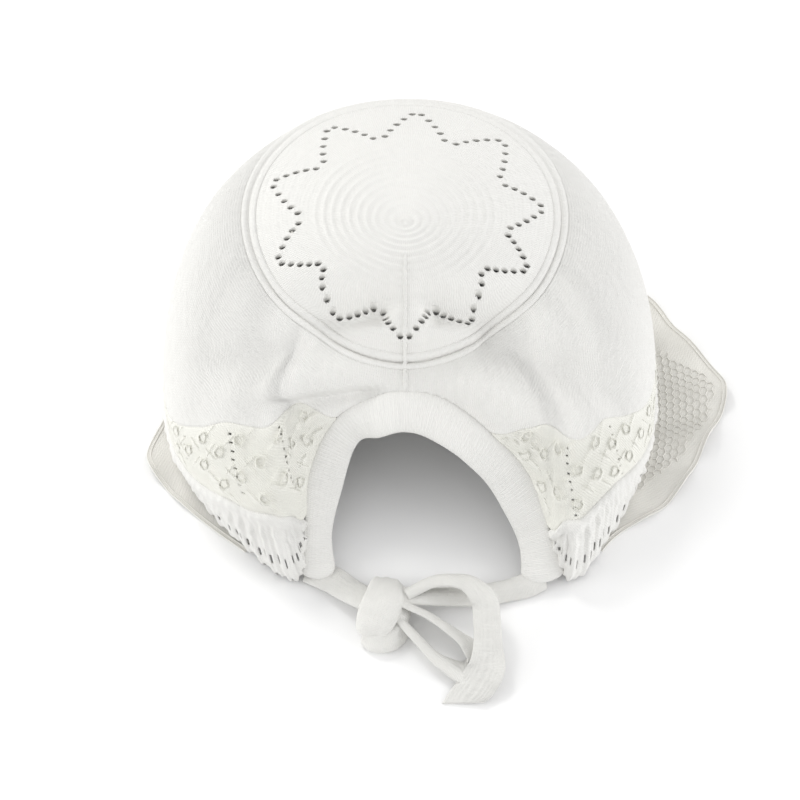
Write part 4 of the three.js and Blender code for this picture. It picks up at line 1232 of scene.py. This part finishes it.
def smooth_line(rows, steps):
    """Smooth line through the rows of a tape table, with its other columns read along it."""
    rows = np.array(rows, float)
    keys = steps_along(rows[:, :3])
    read = smooth_rows(np.c_[keys, rows])
    return read(np.linspace(0, keys[-1], steps))


def make_tape(name, rows, node, thick, seed, steps, slant=0.0):
    """A flat tape along its table's line; slant is how far its cut end leans."""
    line = smooth_line(rows, steps)
    middle, wide, roll = line[:, :3], line[:, 3:4], np.radians(line[:, 4])
    way = unit(np.gradient(middle, axis=0))
    level = unit(np.cross(way, [0, 0, 1.0]))
    side = level * np.cos(roll)[:, None] + np.cross(level, way) * np.sin(roll)[:, None]
    length = steps_along(middle)
    k = 30
    across, up = rounded(k, 0.7, 0.7)
    edge = 0.10 * bell(np.abs(across), 0.86, 0.1)
    crease = 0.22 * soft_noise(length[:, None] / 2.6, across * wide / 3, seed)
    # a narrow place is the same tape, curled over along its length
    curl = 0.5 * wide * np.sqrt(0.375 * np.maximum(TAPE_WIDTH / wide - 1, 0.0))
    crown = curl * (1 - across**2) - 0.35 * curl
    tall = up * (thick + edge) + crease + crown - 0.3
    rings = rings_along(middle, side, across * wide / 2, np.cross(side, way), tall)
    cut_zone = 22
    late = ramp(1 - (length[-1] - length) / cut_zone) ** 1.3 * slant
    rings = rings + way[:, None] * (late[:, None] * across)[..., None]
    rings[..., 2] = np.maximum(rings[..., 2], FLOOR_GAP)
    piece = tube(name, rings, length / 0.8, np.arange(k + 1) * 0.9, finish_of("soft tape"))
    settle(piece, "tape_offwhite", node)


def make_ties():
    make_tape("left_tie", TIE_LEFT, "tie_left", 0.9, 3, 90)
    make_tape("right_tie", TIE_RIGHT, "tie_right", 0.6, 5, 140)


def make_bow():
    make_tape("loop_of_bow", BOW_LOOP, "bow_loop", 0.55, 7, 240)
    make_tape("tail_of_bow", BOW_TAIL, "bow_tail", 0.5, 9, 200, 4.2)


def wrap_rings(rows, steps, seed):
    """Rings of one wrap of the knot, creased on its outer face and drawn in at its ends."""
    line = smooth_line(rows, steps)
    middle, wide, thick = line[:, :3], line[:, 3], line[:, 4]
    way = unit(np.gradient(middle, axis=0))
    normal = middle - (middle.mean(0) - [0, 0, 4])
    normal = unit(normal - way * (normal * way).sum(-1, keepdims=True))
    across, up = rounded(40, 0.85, 0.85)
    length = steps_along(middle)
    crease = 0.6 * soft_noise(length[:, None] / 4, across * wide[:, None] / 1.6, seed)
    from_end = np.minimum(np.arange(steps), np.arange(steps)[::-1])
    ends = ramp(from_end / (steps * 0.08), 0.15) ** 0.5
    tall = up * (thick * ends)[:, None] / 2 + crease * (up > 0)
    wide = across * (wide * ends)[:, None] / 2
    rings = rings_along(middle, np.cross(way, normal), wide, normal, tall)
    rings[..., 2] = np.maximum(rings[..., 2], FLOOR_GAP)
    return rings, length


def make_bow_knot():
    points, faces, uvs = [], [], []
    count = 0
    for rows, steps, seed in ((KNOT_WRAP, 90, 71), (KNOT_UNDER, 70, 73), (KNOT_CORE, 50, 75)):
        rings, length = wrap_rings(rows, steps, seed)
        p, f, t = tube_arrays(rings, length / 0.8, np.arange(rings.shape[1] + 1) * 0.9)
        faces.extend([[a + count for a in face] for face in f])
        points.append(p)
        uvs.append(t)
        count += len(p)
    points, uvs = np.vstack(points), np.vstack(uvs)
    piece = new_piece("wrapped_knot", points, faces, uvs, finish_of("soft tape"))
    settle(piece, "tape_offwhite", "bow_knot")


# Floor, light and camera

# Lamps: name, place, size, power, colour
LAMPS = [
    ("key", (-0.5, 0.75, 0.9), 0.3, 3.8, (1.0, 0.995, 0.98)),
    ("left", (-1.1, -0.25, 0.4), 0.6, 4.2, (1.0, 1.0, 0.99)),
    ("right", (1.1, -0.25, 0.4), 0.6, 4.8, (0.99, 0.99, 1.0)),
]
WORLD_LIGHT = 0.79
CAMERA_AIM = Vector((-0.0122, -0.0057, 0.040))
CAMERA_RISE = 62  # degrees above the floor
CAMERA_LENS, SENSOR, PICTURE_WIDTH = 250.0, 36.0, 0.256


def floor_material():
    material, tree, place = new_material("pale floor")
    noise = {"Vector": place, "Scale": 40.0, "Detail": 4.0}
    noise = add_node(tree, "ShaderNodeTexNoise", noise).outputs["Fac"]
    tone = add_node(tree, "ShaderNodeMapRange", {"Value": noise, "To Min": 0.95, "To Max": 0.97})
    give_surface(tree, {"Base Color": tone.outputs[0], "Roughness": 0.9, "Specular IOR Level": 0.1})
    return material


def facing(place, aim):
    """The turn that points a lamp or the camera at its aim."""
    return (aim - Vector(place)).to_track_quat("-Z", "Y").to_euler()


def make_stage():
    mesh = bpy.data.meshes.new("floor")
    half = 3.0
    corners = [(-half, -half, 0), (half, -half, 0), (half, half, 0), (-half, half, 0)]
    mesh.from_pydata(corners, [], [(0, 1, 2, 3)])
    mesh.materials.append(floor_material())
    in_scene("floor", mesh)
    scene = bpy.context.scene
    scene.world = bpy.data.worlds.new("soft room")
    scene.world.use_nodes = True
    sky = scene.world.node_tree.nodes["Background"].inputs
    sky["Color"].default_value = (1.0, 1.0, 1.0, 1)
    sky["Strength"].default_value = WORLD_LIGHT
    for name, place, size, power, colour in LAMPS:
        data = bpy.data.lights.new(name, "AREA")
        data.energy, data.size, data.color = power, size, colour
        lamp = in_scene(name, data)
        lamp.location = place
        lamp.rotation_euler = facing(place, Vector((0, 0, 0.03)))
    high = math.radians(CAMERA_RISE)
    back = PICTURE_WIDTH * CAMERA_LENS / SENSOR
    data = bpy.data.cameras.new("camera")
    data.lens, data.sensor_width, data.sensor_fit = CAMERA_LENS, SENSOR, "HORIZONTAL"
    data.clip_end = 20.0
    camera = in_scene("camera", data)
    camera.location = CAMERA_AIM + back * Vector((0, -math.cos(high), math.sin(high)))
    camera.rotation_euler = facing(camera.location, CAMERA_AIM)
    scene.camera = camera
    scene.view_settings.view_transform = "Standard"


# Operators, panel and registration

class HAT_OT_stage(bpy.types.Operator):
    """Sets out the floor, the soft light and the camera"""
    bl_idname = "baby_hat.stage"
    bl_label = "Floor, light and camera"

    def execute(self, context):
        make_stage()
        return {"FINISHED"}


class HAT_OT_back_disc(bpy.types.Operator):
    """Knits the round back with its garter ridges and its star of eyelets"""
    bl_idname = "baby_hat.back_disc"
    bl_label = "Back disc"

    def execute(self, context):
        make_back_disc()
        return {"FINISHED"}


class HAT_OT_ring_and_seam(bpy.types.Operator):
    """Lays the double ridge ring round the disc and the seam down to the nape"""
    bl_idname = "baby_hat.ring_and_seam"
    bl_label = "Ridge ring and back seam"

    def execute(self, context):
        make_ridge_ring()
        make_back_seam()
        return {"FINISHED"}


class HAT_OT_knit_sides(bpy.types.Operator):
    """Knits the sides with their dents and folds"""
    bl_idname = "baby_hat.knit_sides"
    bl_label = "Knit sides"

    def execute(self, context):
        make_knit_sides()
        return {"FINISHED"}


class HAT_OT_neck_band(bpy.types.Operator):
    """Rolls the ribbed band round the neck opening"""
    bl_idname = "baby_hat.neck_band"
    bl_label = "Neck band"

    def execute(self, context):
        make_neck_band()
        return {"FINISHED"}


class HAT_OT_embroidered_band(bpy.types.Operator):
    """Works the cream band with satin sprigs and small eyelets"""
    bl_idname = "baby_hat.embroidered_band"
    bl_label = "Embroidered band"

    def execute(self, context):
        make_embroidered_band()
        return {"FINISHED"}


class HAT_OT_front_frill(bpy.types.Operator):
    """Gathers the white frill with its slits and scallops"""
    bl_idname = "baby_hat.front_frill"
    bl_label = "Front frill"

    def execute(self, context):
        make_front_frill()
        return {"FINISHED"}


class HAT_OT_tulle_ruffle(bpy.types.Operator):
    """Nets the tulle ruffle under the face edge"""
    bl_idname = "baby_hat.tulle_ruffle"
    bl_label = "Tulle ruffle"

    def execute(self, context):
        make_tulle_ruffle()
        return {"FINISHED"}


class HAT_OT_ties_and_bow(bpy.types.Operator):
    """Ties the chin strap and its bow"""
    bl_idname = "baby_hat.ties_and_bow"
    bl_label = "Ties and bow"

    def execute(self, context):
        make_ties()
        make_bow()
        make_bow_knot()
        return {"FINISHED"}


STEPS = [
    HAT_OT_stage, HAT_OT_back_disc, HAT_OT_ring_and_seam, HAT_OT_knit_sides, HAT_OT_neck_band,
    HAT_OT_embroidered_band, HAT_OT_front_frill, HAT_OT_tulle_ruffle, HAT_OT_ties_and_bow,
]


class HAT_PT_panel(bpy.types.Panel):
    """Sizes, colours and steps of the baby hat"""
    bl_idname = "HAT_PT_panel"
    bl_label = "Baby hat"
    bl_space_type = "VIEW_3D"
    bl_region_type = "UI"
    bl_category = "Baby hat"

    def draw(self, context):
        for group in (context.scene.baby_hat_sizes, context.scene.baby_hat_colours):
            for key in group.bl_rna.properties.keys():
                if key not in ("rna_type", "name"):
                    self.layout.prop(group, key)
        for step in STEPS:
            self.layout.operator(step.bl_idname)


CLASSES = [HatColours, HatSizes, *STEPS, HAT_PT_panel]


def register():
    for made in CLASSES:
        bpy.utils.register_class(made)
    bpy.types.Scene.baby_hat_colours = bpy.props.PointerProperty(type=HatColours)
    bpy.types.Scene.baby_hat_sizes = bpy.props.PointerProperty(type=HatSizes)


def unregister():
    del bpy.types.Scene.baby_hat_colours
    del bpy.types.Scene.baby_hat_sizes
    for made in reversed(CLASSES):
        bpy.utils.unregister_class(made)


def main():
    register()
    bpy.ops.baby_hat.stage()
    bpy.ops.baby_hat.back_disc()
    bpy.ops.baby_hat.ring_and_seam()
    bpy.ops.baby_hat.knit_sides()
    bpy.ops.baby_hat.embroidered_band()
    bpy.ops.baby_hat.front_frill()
    bpy.ops.baby_hat.neck_band()
    bpy.ops.baby_hat.ties_and_bow()
    bpy.ops.baby_hat.tulle_ruffle()


if __name__ == "__main__":
    main()
